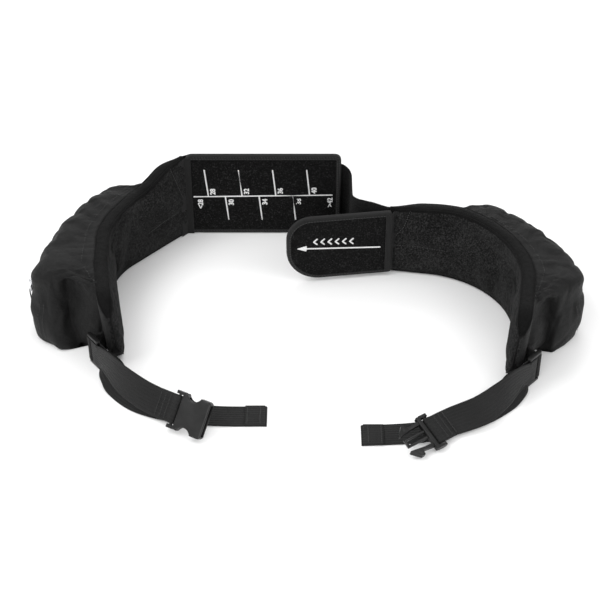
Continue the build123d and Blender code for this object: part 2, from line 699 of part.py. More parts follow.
def build_anchor(side):
    route = anchor_route(side)
    tab = band(stretch(route, 0, route_length(route) - WRAP_INNER), -WEBBING_THICKNESS, WEBBING_THICKNESS,
               WEBBING_FLOOR)
    with BuildPart() as anchor:
        extrude(tab, amount=WEBBING_WIDTH)
        with BuildSketch(lock_plane(side, WEBBING_FLOOR)):
            Circle(WRAP_OUTER)
        extrude(amount=WEBBING_WIDTH)
        with BuildSketch(lock_plane(side, WEBBING_FLOOR)):
            Circle(WRAP_INNER)
        extrude(amount=WEBBING_WIDTH, mode=Mode.SUBTRACT)
    write(anchor.part, f"{side.name}_anchor_loop")


def build_lock(side):
    with BuildPart() as lock:
        for z in (LOCK_LOW, LOCK_LOW + LOCK_TALL - LOCK_RAIL):
            with BuildSketch(lock_plane(side, z)):
                with Locations(((LOCK_END - BAR_RADIUS - 1)/2, 0)):
                    RectangleRounded(LOCK_END + BAR_RADIUS + 1, 2*LOCK_HALF, LOCK_HALF - 0.4)
            extrude(amount=LOCK_RAIL)
        with BuildSketch(lock_plane(side, LOCK_LOW)):
            Circle(BAR_RADIUS)
            with Locations((MIDDLE_BAR + LOCK_MIDDLE/2, 0)):
                RectangleRounded(LOCK_MIDDLE, 3.0, 1.2)
            with Locations((FRONT_BAR + LOCK_FRONT/2 - 0.5, 0)):
                RectangleRounded(LOCK_FRONT - 1, 3.6, 1.4)
        extrude(amount=LOCK_TALL)
    write(lock.part, f"{side.name}_ladder_lock")


# ---------------------------------------------------------------- straps
def strap_frame(x, y, z, heading, tilt, lean):
    """Middle, direction along, direction across and outer normal of tilted webbing."""
    a, t = radians(heading), radians(tilt)
    along = Vector(cos(a), sin(a), 0)
    across = Vector(-lean*sin(a)*sin(t), lean*cos(a)*sin(t), cos(t))
    return Vector(x, y, z), along, across, along.cross(across)*lean


def strap_stations(side, run, leg_side):
    """World stations of one run of a strap, from the end of its leg past the ladder lock."""
    x, y = rear_bar(side)
    a = radians(side.lock_heading)
    start = (x + LEG_END*cos(a) - leg_side*LEG_OFFSET*sin(a),
             y + LEG_END*sin(a) + leg_side*LEG_OFFSET*cos(a),
             WEBBING_FLOOR + WEBBING_WIDTH/2, side.lock_heading, 0.0)
    return [start] + [(x + dx, y + dy, z, heading, tilt) for dx, dy, z, heading, tilt in run]


def buckle_frame(side):
    """Bar middle, direction along the strap, across it and out of the buckle's face."""
    middle, along, across, outwards = strap_frame(*strap_stations(side, side.fixed, 0)[-1], side.lean)
    return middle + along*SEWN_TAB, along, across, outwards


def ribbon(stations, lean):
    """Flat webbing through a list of stations."""
    with BuildPart() as webbing:
        for station in stations:
            middle, along, across, _ = strap_frame(*station, lean)
            with BuildSketch(Plane(origin=middle, x_dir=across, z_dir=along)):
                Rectangle(WEBBING_WIDTH, WEBBING_THICKNESS)
        loft(ruled=True)
    return webbing.part


def build_strap(side):
    fixed = strap_stations(side, side.fixed, -side.lean)
    tail = strap_stations(side, side.tail, side.lean)
    bar, along, across, _ = buckle_frame(side)
    hem_middle, hem_along, _, hem_up = strap_frame(*tail[-1], side.lean)
    with BuildPart() as strap:
        with BuildSketch(lock_plane(side, WEBBING_FLOOR)):
            with Locations((WRAP_BEND, 0)):
                Circle(WRAP_OUTER)
            with Locations(((WRAP_BEND + LEG_END)/2, 0)):
                Rectangle(LEG_END - WRAP_BEND, 2*WRAP_OUTER)
                Rectangle(LEG_END - WRAP_BEND, 2*WRAP_INNER, mode=Mode.SUBTRACT)
            with Locations((WRAP_BEND, 0)):
                Circle(WRAP_INNER, mode=Mode.SUBTRACT)
        extrude(amount=WEBBING_WIDTH)
        add(ribbon(fixed, side.lean))
        add(ribbon(tail, side.lean))
        hem_origin = hem_middle - hem_along*HEM_LENGTH/2 + Vector(0, 0, WEBBING_THICKNESS)
        with BuildSketch(Plane(origin=hem_origin, x_dir=hem_along, z_dir=(0, 0, 1))
                         .offset(-WEBBING_THICKNESS/2)):
            Rectangle(HEM_LENGTH, WEBBING_WIDTH)
        extrude(amount=WEBBING_THICKNESS)
        with BuildSketch(Plane(origin=bar - across*WEBBING_WIDTH/2, x_dir=along, z_dir=across)):
            Circle(WRAP_OUTER)
            with Locations((-(SEWN_TAB + WRAP_INNER)/2, 0)):
                Rectangle(SEWN_TAB - WRAP_INNER, 2*WEBBING_THICKNESS)
            Circle(WRAP_INNER, mode=Mode.SUBTRACT)
        extrude(amount=WEBBING_WIDTH)
    write(strap.part, f"{side.name}_strap")


# ---------------------------------------------------------------- side-release buckle
def buckle_plane(side, height=0.0):
    """Plane of a buckle half at its bar: x along the buckle, z out of its face."""
    bar, along, _, outwards = buckle_frame(side)
    return Plane(origin=bar, x_dir=along, z_dir=outwards).offset(height)


def add_ears(side, front):
    """Two ears and the bar between them, added to the part that is being built."""
    bar, along, across, _ = buckle_frame(side)
    ear = BUCKLE_WIDTH/2 - EAR_INNER
    with BuildSketch(buckle_plane(side, -EAR_THICKNESS/2)) as ear_faces:
        for way in (-1, 1):
            with Locations(((front - EAR_BACK)/2, way*(EAR_INNER + ear/2))):
                Rectangle(front + EAR_BACK, ear)
    ears = extrude(ear_faces.sketch, amount=EAR_THICKNESS)
    fillet(ears.edges().filter_by(Axis((0, 0, 0), across)).sort_by_distance(bar - along*EAR_BACK)[:4],
           radius=2.5)
    with BuildSketch(Plane(origin=bar - across*EAR_INNER, x_dir=along, z_dir=across)) as bar_face:
        Circle(BAR_RADIUS)
    extrude(bar_face.sketch, amount=2*EAR_INNER)


def build_socket(side):
    front = SOCKET_BACK + SOCKET_LENGTH
    with BuildPart() as socket:
        with BuildSketch(buckle_plane(side, -SOCKET_THICKNESS/2)) as shell:
            with Locations(((SOCKET_BACK + front)/2, 0)):
                Rectangle(SOCKET_LENGTH, BUCKLE_WIDTH)
            fillet(shell.vertices(), radius=5)
            for way in (-1, 1):
                with Locations((NOTCH_ALONG, way*(BUCKLE_WIDTH/2 + 4.0))):
                    Circle(NOTCH_RADIUS, mode=Mode.SUBTRACT)
        extrude(amount=SOCKET_THICKNESS)
        rims = socket.faces().filter_by(Axis((0, 0, 0), buckle_frame(side)[3]))
        fillet(rims.edges(), radius=2.0)
        with BuildSketch(buckle_plane(side, -SOCKET_CAVITY/2)):
            with Locations(((SOCKET_BACK + SOCKET_WALL + front + 2)/2, 0)):
                Rectangle(SOCKET_LENGTH - SOCKET_WALL + 2, 2*(BUCKLE_WIDTH/2 - SOCKET_WALL))
        extrude(amount=SOCKET_CAVITY, mode=Mode.SUBTRACT)
        add_ears(side, SOCKET_BACK + 1.5)
    write(socket.part, "buckle_socket")


def build_base(side):
    with BuildPart() as base:
        with BuildSketch(buckle_plane(side, -EAR_THICKNESS/2)):
            with Locations(((SOCKET_BACK + BASE_FRONT)/2, 0)):
                RectangleRounded(BASE_FRONT - SOCKET_BACK, BUCKLE_WIDTH, 1.5)
        extrude(amount=EAR_THICKNESS)
        rims = base.faces().filter_by(Axis((0, 0, 0), buckle_frame(side)[3]))
        fillet(rims.edges(), radius=1.4)
        with BuildSketch(buckle_plane(side, -GUIDE_WIDTH/2)):
            for way in (-1, 1):
                with Locations(((BASE_FRONT - 1 + GUIDE_LENGTH)/2, way*GUIDE_SPREAD)):
                    Rectangle(GUIDE_LENGTH - BASE_FRONT + 1, GUIDE_WIDTH)
            with Locations((GUIDE_LENGTH - GUIDE_WIDTH/2, 0)):
                Rectangle(GUIDE_WIDTH, 2*GUIDE_SPREAD + GUIDE_WIDTH)
        extrude(amount=GUIDE_WIDTH)
        add_ears(side, SOCKET_BACK + 2)
    write(base.part, "buckle_base")


def build_prong(side, way, name):
    root = BASE_FRONT + PRONG_GAP
    hook = BUCKLE_WIDTH/2 - 1
    with BuildPart() as prong:
        with BuildSketch(buckle_plane(side, -PRONG_THICKNESS/2)) as outline:
            with BuildLine():
                Polyline((root, way*(PRONG_ROOT - 2.5)), (root, way*(PRONG_ROOT + 2.5)),
                         (root + 17, way*(PRONG_ROOT + 0.8)), (root + 18, way*hook),
                         (root + 23, way*hook), (PRONG_LENGTH, way*13.5), (PRONG_LENGTH, way*11.5),
                         (root + 25, way*12.5), (root + 15, way*14.0), (root, way*(PRONG_ROOT - 2.5)))
            make_face()
            ends = outline.vertices().sort_by(Axis.X)
            fillet(ends[3:6] + ends[6:], radius=0.9)
        extrude(amount=PRONG_THICKNESS)
    write(prong.part, name)


for side in SIDES:
    build_wing(side)
    build_pocket(side)
    build_slider(side)
    build_pull(side)
    build_anchor(side)
    build_lock(side)
    build_strap(side)
build_socket(LEFT)
build_base(RIGHT)
build_prong(RIGHT, 1, "buckle_prong_upper")
build_prong(RIGHT, -1, "buckle_prong_lower")
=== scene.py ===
"""The looks of a padded hip belt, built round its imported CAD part.

Shapes are worked out in millimetres in the CAD part's frame, and skin() turns them into metres.
"""

from collections import namedtuple
from math import atan2, copysign, cos, degrees, hypot, pi, radians, sin, sqrt, tan

import bmesh
import bpy
import numpy as np
from mathutils import Matrix, Vector, noise


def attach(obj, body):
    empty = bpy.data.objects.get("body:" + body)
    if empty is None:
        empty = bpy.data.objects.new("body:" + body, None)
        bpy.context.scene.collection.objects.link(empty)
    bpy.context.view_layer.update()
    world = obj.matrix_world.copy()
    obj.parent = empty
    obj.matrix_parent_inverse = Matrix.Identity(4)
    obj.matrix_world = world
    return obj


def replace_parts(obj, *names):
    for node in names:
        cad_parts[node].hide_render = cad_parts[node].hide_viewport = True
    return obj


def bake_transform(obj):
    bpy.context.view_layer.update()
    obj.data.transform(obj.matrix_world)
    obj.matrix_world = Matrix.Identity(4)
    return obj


MM = 0.001
CLOTH_FRAMES = 20
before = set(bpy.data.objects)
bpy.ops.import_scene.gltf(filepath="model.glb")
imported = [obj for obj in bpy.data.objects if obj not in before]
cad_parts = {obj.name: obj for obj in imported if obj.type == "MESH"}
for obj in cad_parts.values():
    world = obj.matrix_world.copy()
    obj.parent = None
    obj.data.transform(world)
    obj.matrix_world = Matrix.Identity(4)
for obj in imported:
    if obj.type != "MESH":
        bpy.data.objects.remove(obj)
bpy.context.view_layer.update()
scene = bpy.context.scene


# ---------------------------------------------------------------- materials
MATERIALS = {}
WAVE = 2*pi/20                 # scale of a wave texture whose stripes are one unit apart


class Shader:
    """A node material with a few helpers for joining its nodes."""

    def __init__(self, name, roughness, specular, metallic=0.0, sheen=0.0):
        material = bpy.data.materials.new("belt_" + name)
        material.use_nodes = True
        MATERIALS[name] = material
        self.nodes = material.node_tree.nodes
        self.links = material.node_tree.links
        self.surface = self.nodes["Principled BSDF"]
        self.surface.inputs["Roughness"].default_value = roughness
        self.surface.inputs["Specular IOR Level"].default_value = specular
        self.surface.inputs["Metallic"].default_value = metallic
        self.surface.inputs["Sheen Weight"].default_value = sheen
        self.surface.inputs["Sheen Roughness"].default_value = 0.5
        self.place = self.nodes.new("ShaderNodeTexCoord")

    def node(self, kind, inputs=None, **settings):
        made = self.nodes.new(kind)
        for key, value in settings.items():
            setattr(made, key, value)
        for key, value in (inputs or {}).items():
            if isinstance(value, bpy.types.NodeSocket):
                self.links.new(value, made.inputs[key])
            else:
                made.inputs[key].default_value = value
        return made

    def noise(self, scale, detail=2.0, rough=0.5):
        return self.node("ShaderNodeTexNoise", {"Vector": self.place.outputs["Object"], "Scale": scale,
                                                "Detail": detail, "Roughness": rough}).outputs["Fac"]

    def waves(self, pitch, direction, where="UV"):
        """Soft stripes, pitch metres apart, across X, Y or DIAGONAL."""
        return self.node("ShaderNodeTexWave", {"Vector": self.place.outputs[where],
                                               "Scale": WAVE/pitch},
                         wave_type="BANDS", bands_direction=direction).outputs["Fac"]

    def maths(self, operation, a, b):
        return self.node("ShaderNodeMath", {0: a, 1: b}, operation=operation).outputs[0]

    def mix(self, *parts):
        """The sum of (value, share) parts."""
        value, share = parts[0]
        first = self.maths("MULTIPLY", value, share)
        return self.maths("ADD", first, self.mix(*parts[1:])) if parts[1:] else first

    def ramp(self, fac, stops):
        made = self.node("ShaderNodeValToRGB", {"Fac": fac})
        band = made.color_ramp
        while len(band.elements) < len(stops):
            band.elements.new(0.5)
        for element, (position, grey) in zip(band.elements, stops):
            element.position = position
            element.color = (*grey, 1.0) if isinstance(grey, tuple) else (grey, grey, grey, 1.0)
        return made.outputs["Color"]

    def colour(self, socket):
        self.links.new(socket, self.surface.inputs["Base Color"])

    def roughness(self, fac, low, high):
        made = self.node("ShaderNodeMapRange", {"Value": fac, "To Min": low, "To Max": high})
        self.links.new(made.outputs["Result"], self.surface.inputs["Roughness"])

    def bump(self, *layers):
        """Layers are (height, depth in metres), the first the finest."""
        normal = None
        for height, depth in layers:
            inputs = {"Height": height, "Strength": 1.0, "Distance": depth}
            if normal is not None:
                inputs["Normal"] = normal
            normal = self.node("ShaderNodeBump", inputs).outputs["Normal"]
        self.links.new(normal, self.surface.inputs["Normal"])


def spacer_mesh():
    mesh = Shader("spacer_mesh", 0.9, 0.08, sheen=0.02)
    holes = mesh.node("ShaderNodeTexVoronoi", {"Vector": mesh.place.outputs["Object"], "Scale": 620.0,
                                               "Randomness": 0.55}).outputs["Distance"]
    patches = mesh.noise(23.0, 3.0)
    speck = mesh.maths("MULTIPLY_ADD", mesh.noise(900.0, 1.0), 0.5)
    coarse = mesh.noise(430.0, 3.0, 0.7)
    fac = mesh.mix((holes, 0.25), (patches, 0.2), (coarse, 0.8))
    mesh.colour(mesh.ramp(fac, [(0.44, 0.0007), (0.60, 0.0058), (0.76, 0.028)]))
    mesh.roughness(speck, 0.82, 0.97)
    mesh.bump((holes, 0.0007), (coarse, 0.0010), (mesh.noise(70.0, 3.0), 0.0014))


def nylons():
    for name, dark, light, pitch, gloss in (("shell_nylon", 0.004, 0.012, 0.0008, 0.18),
                                            ("pocket_nylon", 0.002, 0.0125, 0.0007, 0.17),
                                            ("edge_nylon", 0.001, 0.0065, 0.0009, 0.06)):
        cloth = Shader(name, 0.62, gloss, sheen=0.02)
        weave = cloth.maths("MULTIPLY", cloth.waves(pitch, "X"), cloth.waves(pitch, "Y"))
        wear = cloth.noise(31.0, 4.0, 0.6)
        grain = cloth.noise(520.0, 2.0)
        fac = cloth.mix((wear, 0.62), (weave, 0.16), (grain, 0.30))
        cloth.colour(cloth.ramp(fac, [(0.30, dark), (0.78, light)]))
        cloth.roughness(wear, 0.50, 0.74)
        cloth.bump((weave, 0.0003), (grain, 0.0006), (cloth.noise(140.0, 3.0), 0.0014))


def touch_fields():
    for name, base, spread in (("loop_field", 0.0015, 0.040), ("hook_field", 0.004, 0.016)):
        loop = Shader(name, 0.97, 0.06, sheen=0.03)
        fuzz = loop.noise(1100.0, 3.0, 0.75)
        clumps = loop.noise(420.0, 3.0, 0.7)
        fac = loop.mix((fuzz, 0.4), (clumps, 0.6))
        loop.colour(loop.ramp(fac, [(0.42, base), (0.54, base*2.5), (0.66, spread)]))
        loop.bump((fuzz, 0.0009), (clumps, 0.0012))


def binding_tape():
    ribbed = Shader("binding_tape", 0.72, 0.18, sheen=0.03)
    ribs = ribbed.waves(0.0014, "X")
    grain = ribbed.noise(420.0, 2.0)
    ribbed.colour(ribbed.ramp(ribbed.mix((ribs, 0.5), (grain, 0.5)), [(0.2, 0.005), (0.8, 0.017)]))
    ribbed.roughness(grain, 0.60, 0.82)
    ribbed.bump((ribs, 0.0006), (grain, 0.0003))


def webbing_cloth():
    webbing = Shader("webbing", 0.60, 0.22, sheen=0.03)
    flat = webbing.place.outputs["UV"]
    chevrons = webbing.node("ShaderNodeTexWave", {"Vector": flat, "Scale": WAVE/0.0042}, wave_type="BANDS",
                            bands_direction="Y", wave_profile="TRI").outputs["Fac"]
    shifted = webbing.node("ShaderNodeCombineXYZ", {"X": webbing.maths("MULTIPLY", chevrons, 0.0021)})
    moved = webbing.node("ShaderNodeVectorMath", {0: flat, 1: shifted.outputs["Vector"]}, operation="ADD")
    threads = webbing.node("ShaderNodeTexWave", {"Vector": moved.outputs["Vector"],
                                                 "Scale": WAVE/0.0016},
                           wave_type="BANDS", bands_direction="X").outputs["Fac"]
    grain = webbing.noise(380.0, 2.0)
    wear = webbing.noise(26.0, 3.0)
    fac = webbing.mix((threads, 0.34), (grain, 0.30), (wear, 0.36))
    webbing.colour(webbing.ramp(fac, [(0.25, 0.0025), (0.78, 0.015)]))
    webbing.roughness(grain, 0.50, 0.72)
    webbing.bump((threads, 0.00045), (chevrons, 0.0004), (grain, 0.0003))


def threads():
    for name, low, high in (("white_thread", 0.50, 0.82), ("black_thread", 0.010, 0.035)):
        thread = Shader(name, 0.55, 0.35, sheen=0.1)
        twist = thread.waves(0.0007, "DIAGONAL", "Object")
        fluff = thread.noise(800.0, 3.0)
        thread.colour(thread.ramp(thread.mix((twist, 0.35), (fluff, 0.65)), [(0.25, low), (0.65, high)]))
        thread.roughness(fluff, 0.45, 0.75)
        thread.bump((twist, 0.0002), (fluff, 0.0003))


def moulded_plastic():
    plastic = Shader("moulded_plastic", 0.36, 0.34)
    spark = plastic.noise(1600.0, 2.0)
    rub = plastic.noise(45.0, 4.0, 0.65)
    plastic.colour(plastic.ramp(rub, [(0.35, 0.0025), (0.75, 0.0085)]))
    plastic.roughness(rub, 0.27, 0.46)
    plastic.bump((spark, 0.00008), (plastic.noise(180.0, 2.0), 0.00012))


def zip_metal():
    metal = Shader("zip_metal", 0.28, 0.5, metallic=1.0)
    cast = metal.noise(420.0, 3.0)
    metal.colour(metal.ramp(cast, [(0.3, (0.52, 0.53, 0.55)), (0.7, (0.80, 0.80, 0.82))]))
    metal.roughness(cast, 0.20, 0.42)
    metal.bump((cast, 0.0001))


def small_pieces():
    for name, dark, light, rough in (("zip_teeth", 0.007, 0.026, 0.42), ("pull_cord", 0.010, 0.040, 0.70),
                                     ("grip_rubber", 0.010, 0.024, 0.58)):
        shader = Shader(name, rough, 0.35)
        grain = shader.noise(900.0, 3.0)
        braid = shader.waves(0.0013, "DIAGONAL", "Object")
        shader.colour(shader.ramp(shader.mix((grain, 0.55), (braid, 0.4)), [(0.25, dark), (0.75, light)]))
        shader.roughness(grain, rough - 0.1, rough + 0.12)
        shader.bump((braid, 0.0002), (grain, 0.0001))


def studio_floor():
    floor = Shader("studio_floor", 0.9, 0.1)
    floor.colour(floor.ramp(floor.noise(1.3, 2.0), [(0.3, 0.86), (0.7, 0.89)]))


for make_material in (spacer_mesh, nylons, touch_fields, binding_tape, webbing_cloth, threads,
                      moulded_plastic, zip_metal, small_pieces, studio_floor):
    make_material()


# ---------------------------------------------------------------- meshes
def new_object(name, vertices, faces, materials, body, uvs=None, regions=None):
    """A smooth shaded mesh in metres from points in millimetres."""
    data = bpy.data.meshes.new(name)
    data.from_pydata([tuple(v) for v in np.asarray(vertices)*MM], [], faces)
    if uvs is not None:
        layer = data.uv_layers.new(name="UVMap")
        layer.data.foreach_set("uv", (np.asarray(uvs, np.float32)*MM).ravel())
    for material in materials:
        data.materials.append(MATERIALS[material])
    if regions is not None:
        data.polygons.foreach_set("material_index", regions)
    work = bmesh.new()
    work.from_mesh(data)
    bmesh.ops.remove_doubles(work, verts=work.verts, dist=1e-7)
    bmesh.ops.recalc_face_normals(work, faces=work.faces)
    work.to_mesh(data)
    work.free()
    data.polygons.foreach_set("use_smooth", [True]*len(data.polygons))
    made = bpy.data.objects.new(name, data)
    scene.collection.objects.link(made)
    if body:
        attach(made, body)
    return made


def prism(base, rings, sides):
    """Faces of a closed rod of rings of points, whose first vertex is number base."""
    faces = []
    for i in range(base, base + (rings - 1)*sides, sides):
        for j in range(sides):
            k = (j + 1) % sides
            faces.append((i + j, i + sides + j, i + sides + k, i + k))
    last = base + (rings - 1)*sides
    return faces + [tuple(range(base, base + sides)), tuple(range(last, last + sides))]


def skin(name, rows, materials, body=None, closed=True, loop=False, region=None):
    """A mesh over rows of points; closed joins each row's ends, loop joins the last row to the first.
    region gives each column's material."""
    rows = np.asarray(rows, float)
    n, m = rows.shape[:2]
    spans = m if closed else m - 1
    steps = n if loop else n - 1
    around = np.linalg.norm(np.roll(rows, -1, axis=1) - rows, axis=2).mean(0)
    along = np.linalg.norm(np.roll(rows, -1, axis=0) - rows, axis=2).mean(1)
    v = np.concatenate(([0.0], np.cumsum(around)))
    u = np.concatenate(([0.0], np.cumsum(along)))
    faces, uvs, regions = [], [], []
    for i in range(steps):
        a, b = i*m, ((i + 1) % n)*m
        for j in range(spans):
            k = (j + 1) % m
            faces.append((a + j, b + j, b + k, a + k))
            uvs += [(u[i], v[j]), (u[i + 1], v[j]), (u[i + 1], v[j + 1]), (u[i], v[j + 1])]
            regions.append(region[j] if region else 0)
    if closed and not loop:
        for base, share in ((0, 0.0), ((n - 1)*m, u[n - 1])):
            for j in range(m//2 - 1):
                faces.append((base + j, base + j + 1, base + m - 2 - j, base + m - 1 - j))
                uvs += [(share, v[j]), (share, v[j + 1]), (share + 2, v[j + 1]), (share + 2, v[j])]
                regions.append(region[j] if region else 0)
    return new_object(name, rows.reshape(-1, 3), faces, materials, body, uvs, regions)


def subdivide(obj):
    made = obj.modifiers.new("subdivision", "SUBSURF")
    made.levels = made.render_levels = 1
    return obj


def places_of(data):
    flat = np.empty(len(data.vertices)*3, np.float32)
    data.vertices.foreach_get("co", flat)
    return flat.reshape(-1, 3)


def puff(obj, sewn, pressure, shrink, cap):
    """Cloth under a little pressure, held where it is sewn; no point moves further than cap metres."""
    group = obj.vertex_groups.new(name="sewn")
    group.add([int(i) for i in sewn], 1.0, "REPLACE")
    cloth = obj.modifiers.new("cloth", "CLOTH")
    settings = cloth.settings
    settings.quality = 5
    settings.mass = 0.25
    settings.vertex_group_mass = "sewn"
    settings.use_pressure = True
    settings.uniform_pressure_force = pressure
    settings.shrink_min = shrink
    settings.tension_stiffness = settings.compression_stiffness = 12.0
    settings.shear_stiffness = 4.0
    settings.bending_stiffness = 0.35
    settings.effector_weights.gravity = 0.0
    cloth.collision_settings.use_collision = False
    cloth.point_cache.frame_start, cloth.point_cache.frame_end = 1, CLOTH_FRAMES
    for number in range(1, CLOTH_FRAMES + 1):
        scene.frame_set(number)
    rest = places_of(obj.data)
    shift = np.nan_to_num(places_of(obj.evaluated_get(bpy.context.evaluated_depsgraph_get()).data) - rest)
    length = np.linalg.norm(shift, axis=1, keepdims=True)
    shift *= np.minimum(1.0, cap/np.maximum(length, 1e-9))
    obj.modifiers.remove(cloth)
    obj.vertex_groups.remove(group)
    obj.data.vertices.foreach_set("co", (rest + shift).astype(np.float32).ravel())
    obj.data.update()
    scene.frame_set(1)


def smooth(x):
    x = min(max(x, 0.0), 1.0)
    return x*x*(3 - 2*x)


def table(pairs, x):
    return float(np.interp(x, [p[0] for p in pairs], [p[1] for p in pairs]))


def rough(x, y, z=0.0):
    """Smooth noise from -1 to 1."""
    return noise.noise(Vector((x, y, z)))


def spline(points, step):
    """Points and tangents along a smooth line through the given points, about step millimetres apart."""
    points = np.asarray(points, float)
    padded = np.vstack((2*points[0] - points[1], points, 2*points[-1] - points[-2]))
    made = []
    for i in range(1, len(padded) - 2):
        p0, p1, p2, p3 = padded[i - 1:i + 3]
        count = max(int(np.linalg.norm((p2 - p1)[:3])/step), 2)
        for t in np.linspace(0, 1, count, endpoint=False):
            made.append(0.5*(2*p1 + (p2 - p0)*t + (2*p0 - 5*p1 + 4*p2 - p3)*t*t
                             + (3*p1 - p0 - 3*p2 + p3)*t**3))
    made.append(points[-1])
    made = np.array(made)
    tangents = np.gradient(made[:, :3], axis=0)
    return made, tangents/np.linalg.norm(tangents, axis=1, keepdims=True)


def tube(name, points, radius, material, body, sides=8):
    """A round tube along points in millimetres."""
    points = np.asarray(points, float)
    tangents = np.gradient(points, axis=0)
    tangents /= np.linalg.norm(tangents, axis=1, keepdims=True)
    side = np.cross(tangents, (0.13, 0.21, 0.97))
    side /= np.linalg.norm(side, axis=1, keepdims=True)
    up = np.cross(side, tangents)
    angles = np.arange(sides)*2*pi/sides
    rows = [[p + radius*(cos(a)*s + sin(a)*t) for a in angles] for p, s, t in zip(points, side, up)]
    return skin(name, rows, [material], body)


def at_distance(d, walked, values):
    """Values along a line, at a distance walked."""
    return np.array([np.interp(d, walked, values[:, k]) for k in range(values.shape[1])])


def stitches(name, points, normals, body, pitch=4.2, length=2.8, radius=0.42):
    """A row of thread stitches that lie on a surface, along points with the surface's normals."""
    points, normals = np.asarray(points, float), np.asarray(normals, float)
    steps = np.linalg.norm(np.diff(points, axis=0), axis=1)
    walked = np.concatenate(([0.0], np.cumsum(steps)))
    vertices, faces = [], []
    profile = [(-0.5, 0.25), (-0.3, 0.9), (0.0, 1.1), (0.3, 0.9), (0.5, 0.25)]
    for start in np.arange(pitch/2, walked[-1] - length/2, pitch):
        base = len(vertices)
        rows = []
        for share, fat in profile:
            d = start + share*length
            n = at_distance(d, walked, normals)
            rows.append((at_distance(d, walked, points), n/np.linalg.norm(n), fat))
        along = rows[-1][0] - rows[0][0]
        along /= np.linalg.norm(along)
        for p, n, fat in rows:
            side = np.cross(along, n)
            for a in range(6):
                angle = a*pi/3
                vertices.append(p + radius*fat*(cos(angle)*side + sin(angle)*n) + n*radius*0.2)
        faces += prism(base, len(profile), 6)
    return new_object(name, vertices, faces, ["black_thread"], body)


# ---------------------------------------------------------------- the two sides, as the CAD part has them
Pocket = namedtuple("Pocket", "root rear rear_depth middle middle_depth front front_depth nose")
Side = namedtuple("Side", "name start heading legs outer heights pocket anchor_back anchor_turn "
                          "anchor_reach lock_heading lean fixed tail shift creases")
THICK = 19.5                   # of a wing
NOSE = 28.0                    # radius of a wing's rounded front corners
POCKET_FACE = 19.8             # of a pocket's inner wall, out from the wing's inner face
ZIP_Z = 76.0
WEB, WEB_HALF = 38.0, 0.8      # webbing's width and half its thickness
WEB_Z = 25.0                   # middle of the webbing where it stands upright
WRAP = 3.1                     # radius of webbing's middle round a bar
SEWN_TAB = 30.0
HEM = 26.0
UP = np.array((0.0, 0.0, 1.0))

LEFT = Side(
    "left", (-118.4, -4.0), 229.0, ((118.0, 0), (100.0, 54.0), (137.0, 0)), -1,
    ((0, 136.0), (90, 117.0), (400, 112.0)), Pocket(62.0, 97.0, 46.0, 177.0, 52.0, 265.0, 92.0, 312.0),
    30.0, -75.0, 14.0, 308.0, 1,
    ((30.6, -48.8, 32.0, 304.0, 14.0), (49.6, -72.8, 30.5, 312.0, 27.0),
     (75.6, -95.8, 27.0, 322.0, 37.0), (97.6, -109.8, 24.5, 330.0, 41.0)),
    ((33.6, -40.8, 11.0, 304.0, 65.0), (43.6, -58.0, 2.5, 313.0, 86.0),
     (72.6, -85.8, 1.1, 328.0, 90.0), (114.6, -102.8, 1.1, 346.0, 90.0),
     (172.6, -111.8, 1.1, 357.0, 90.0), (237.6, -112.8, 1.1, 360.0, 90.0)),
    # how far the pad leans in at its foot and at its top, along the route
    ((0, 0, 0), (100, 0, 3), (135, 0, 11), (170, 1, 11), (213, 3, 6), (265, 4, -3), (330, 3, -7)),
    # creases of the inner face, the upper one, the diagonal and the dart: points (distance, height),
    # width and depth
    ((((125, 114), (160, 96), (200, 84), (250, 78), (310, 72), (345, 66)), 5.0, 2.6),
     (((30, 131), (20, 95), (4, 57)), 4.0, 2.2), (((2, 50), (45, 52), (92, 47)), 4.0, 1.6)))
RIGHT = Side(
    "right", (181.5, -103.0), 350.0, ((60.0, 0), (135.0, -93.0), (80.0, 0)), 1,
    ((0, 112.0), (100, 120.0), (400, 102.0)), Pocket(76.0, 112.0, 47.0, 188.9, 53.0, 255.5, 70.0, 318.0),
    34.0, 60.0, 13.0, 227.0, -1,
    ((-34.0, -44.0, 31.5, 228.0, 14.0), (-56.0, -68.0, 30.0, 223.0, 30.0),
     (-84.5, -90.0, 25.0, 216.0, 48.0), (-122.7, -100.0, 14.5, 215.0, 70.0)),
    ((-36.0, -34.0, 11.0, 230.0, 65.0), (-51.0, -49.0, 2.5, 222.0, 86.0),
     (-79.0, -71.0, 1.1, 214.0, 90.0), (-114.3, -89.0, 1.1, 204.0, 90.0),
     (-164.3, -106.0, 1.1, 190.0, 90.0), (-235.3, -111.5, 1.1, 180.0, 90.0)),
    ((0, 0, 0), (120, 0, 1), (200, 0, 2), (280, 3, 0), (359, 5, -4)),
    ((((60, 98), (100, 92), (140, 86), (180, 82), (220, 80), (260, 70)), 5.0, 2.8),
     (((30, 112), (22, 84), (4, 57)), 4.0, 2.2), (((2, 50), (45, 53), (95, 49)), 4.0, 1.8)))
SIDES = (LEFT, RIGHT)


def leg_length(leg):
    return leg[0]*radians(abs(leg[1])) if leg[1] else leg[0]


def walk(start, heading, legs, distance):
    """Plan point and heading at a distance along lines and arcs; the first and last run on."""
    x, y = start
    a = radians(heading)
    for i, leg in enumerate(legs):
        length = leg_length(leg)
        part = distance if i == len(legs) - 1 or distance < length else length
        if leg[1]:
            bend = copysign(leg[0], leg[1])
            b = a + part/bend
            x, y, a = x + bend*(sin(b) - sin(a)), y - bend*(cos(b) - cos(a)), b
        else:
            x, y = x + part*cos(a), y + part*sin(a)
        distance -= part
        if distance <= 0:
            break
    return np.array((x, y)), a


def length_of(side):
    return sum(leg_length(leg) for leg in side.legs)


def wing(side, distance, out=0.0):
    """Plan point on a wing, out from its inner face, and the directions along and outwards."""
    p, a = walk(side.start, side.heading, side.legs, distance)
    outward = side.outer*np.array((-sin(a), cos(a)))
    return p + out*outward, np.array((cos(a), sin(a))), outward


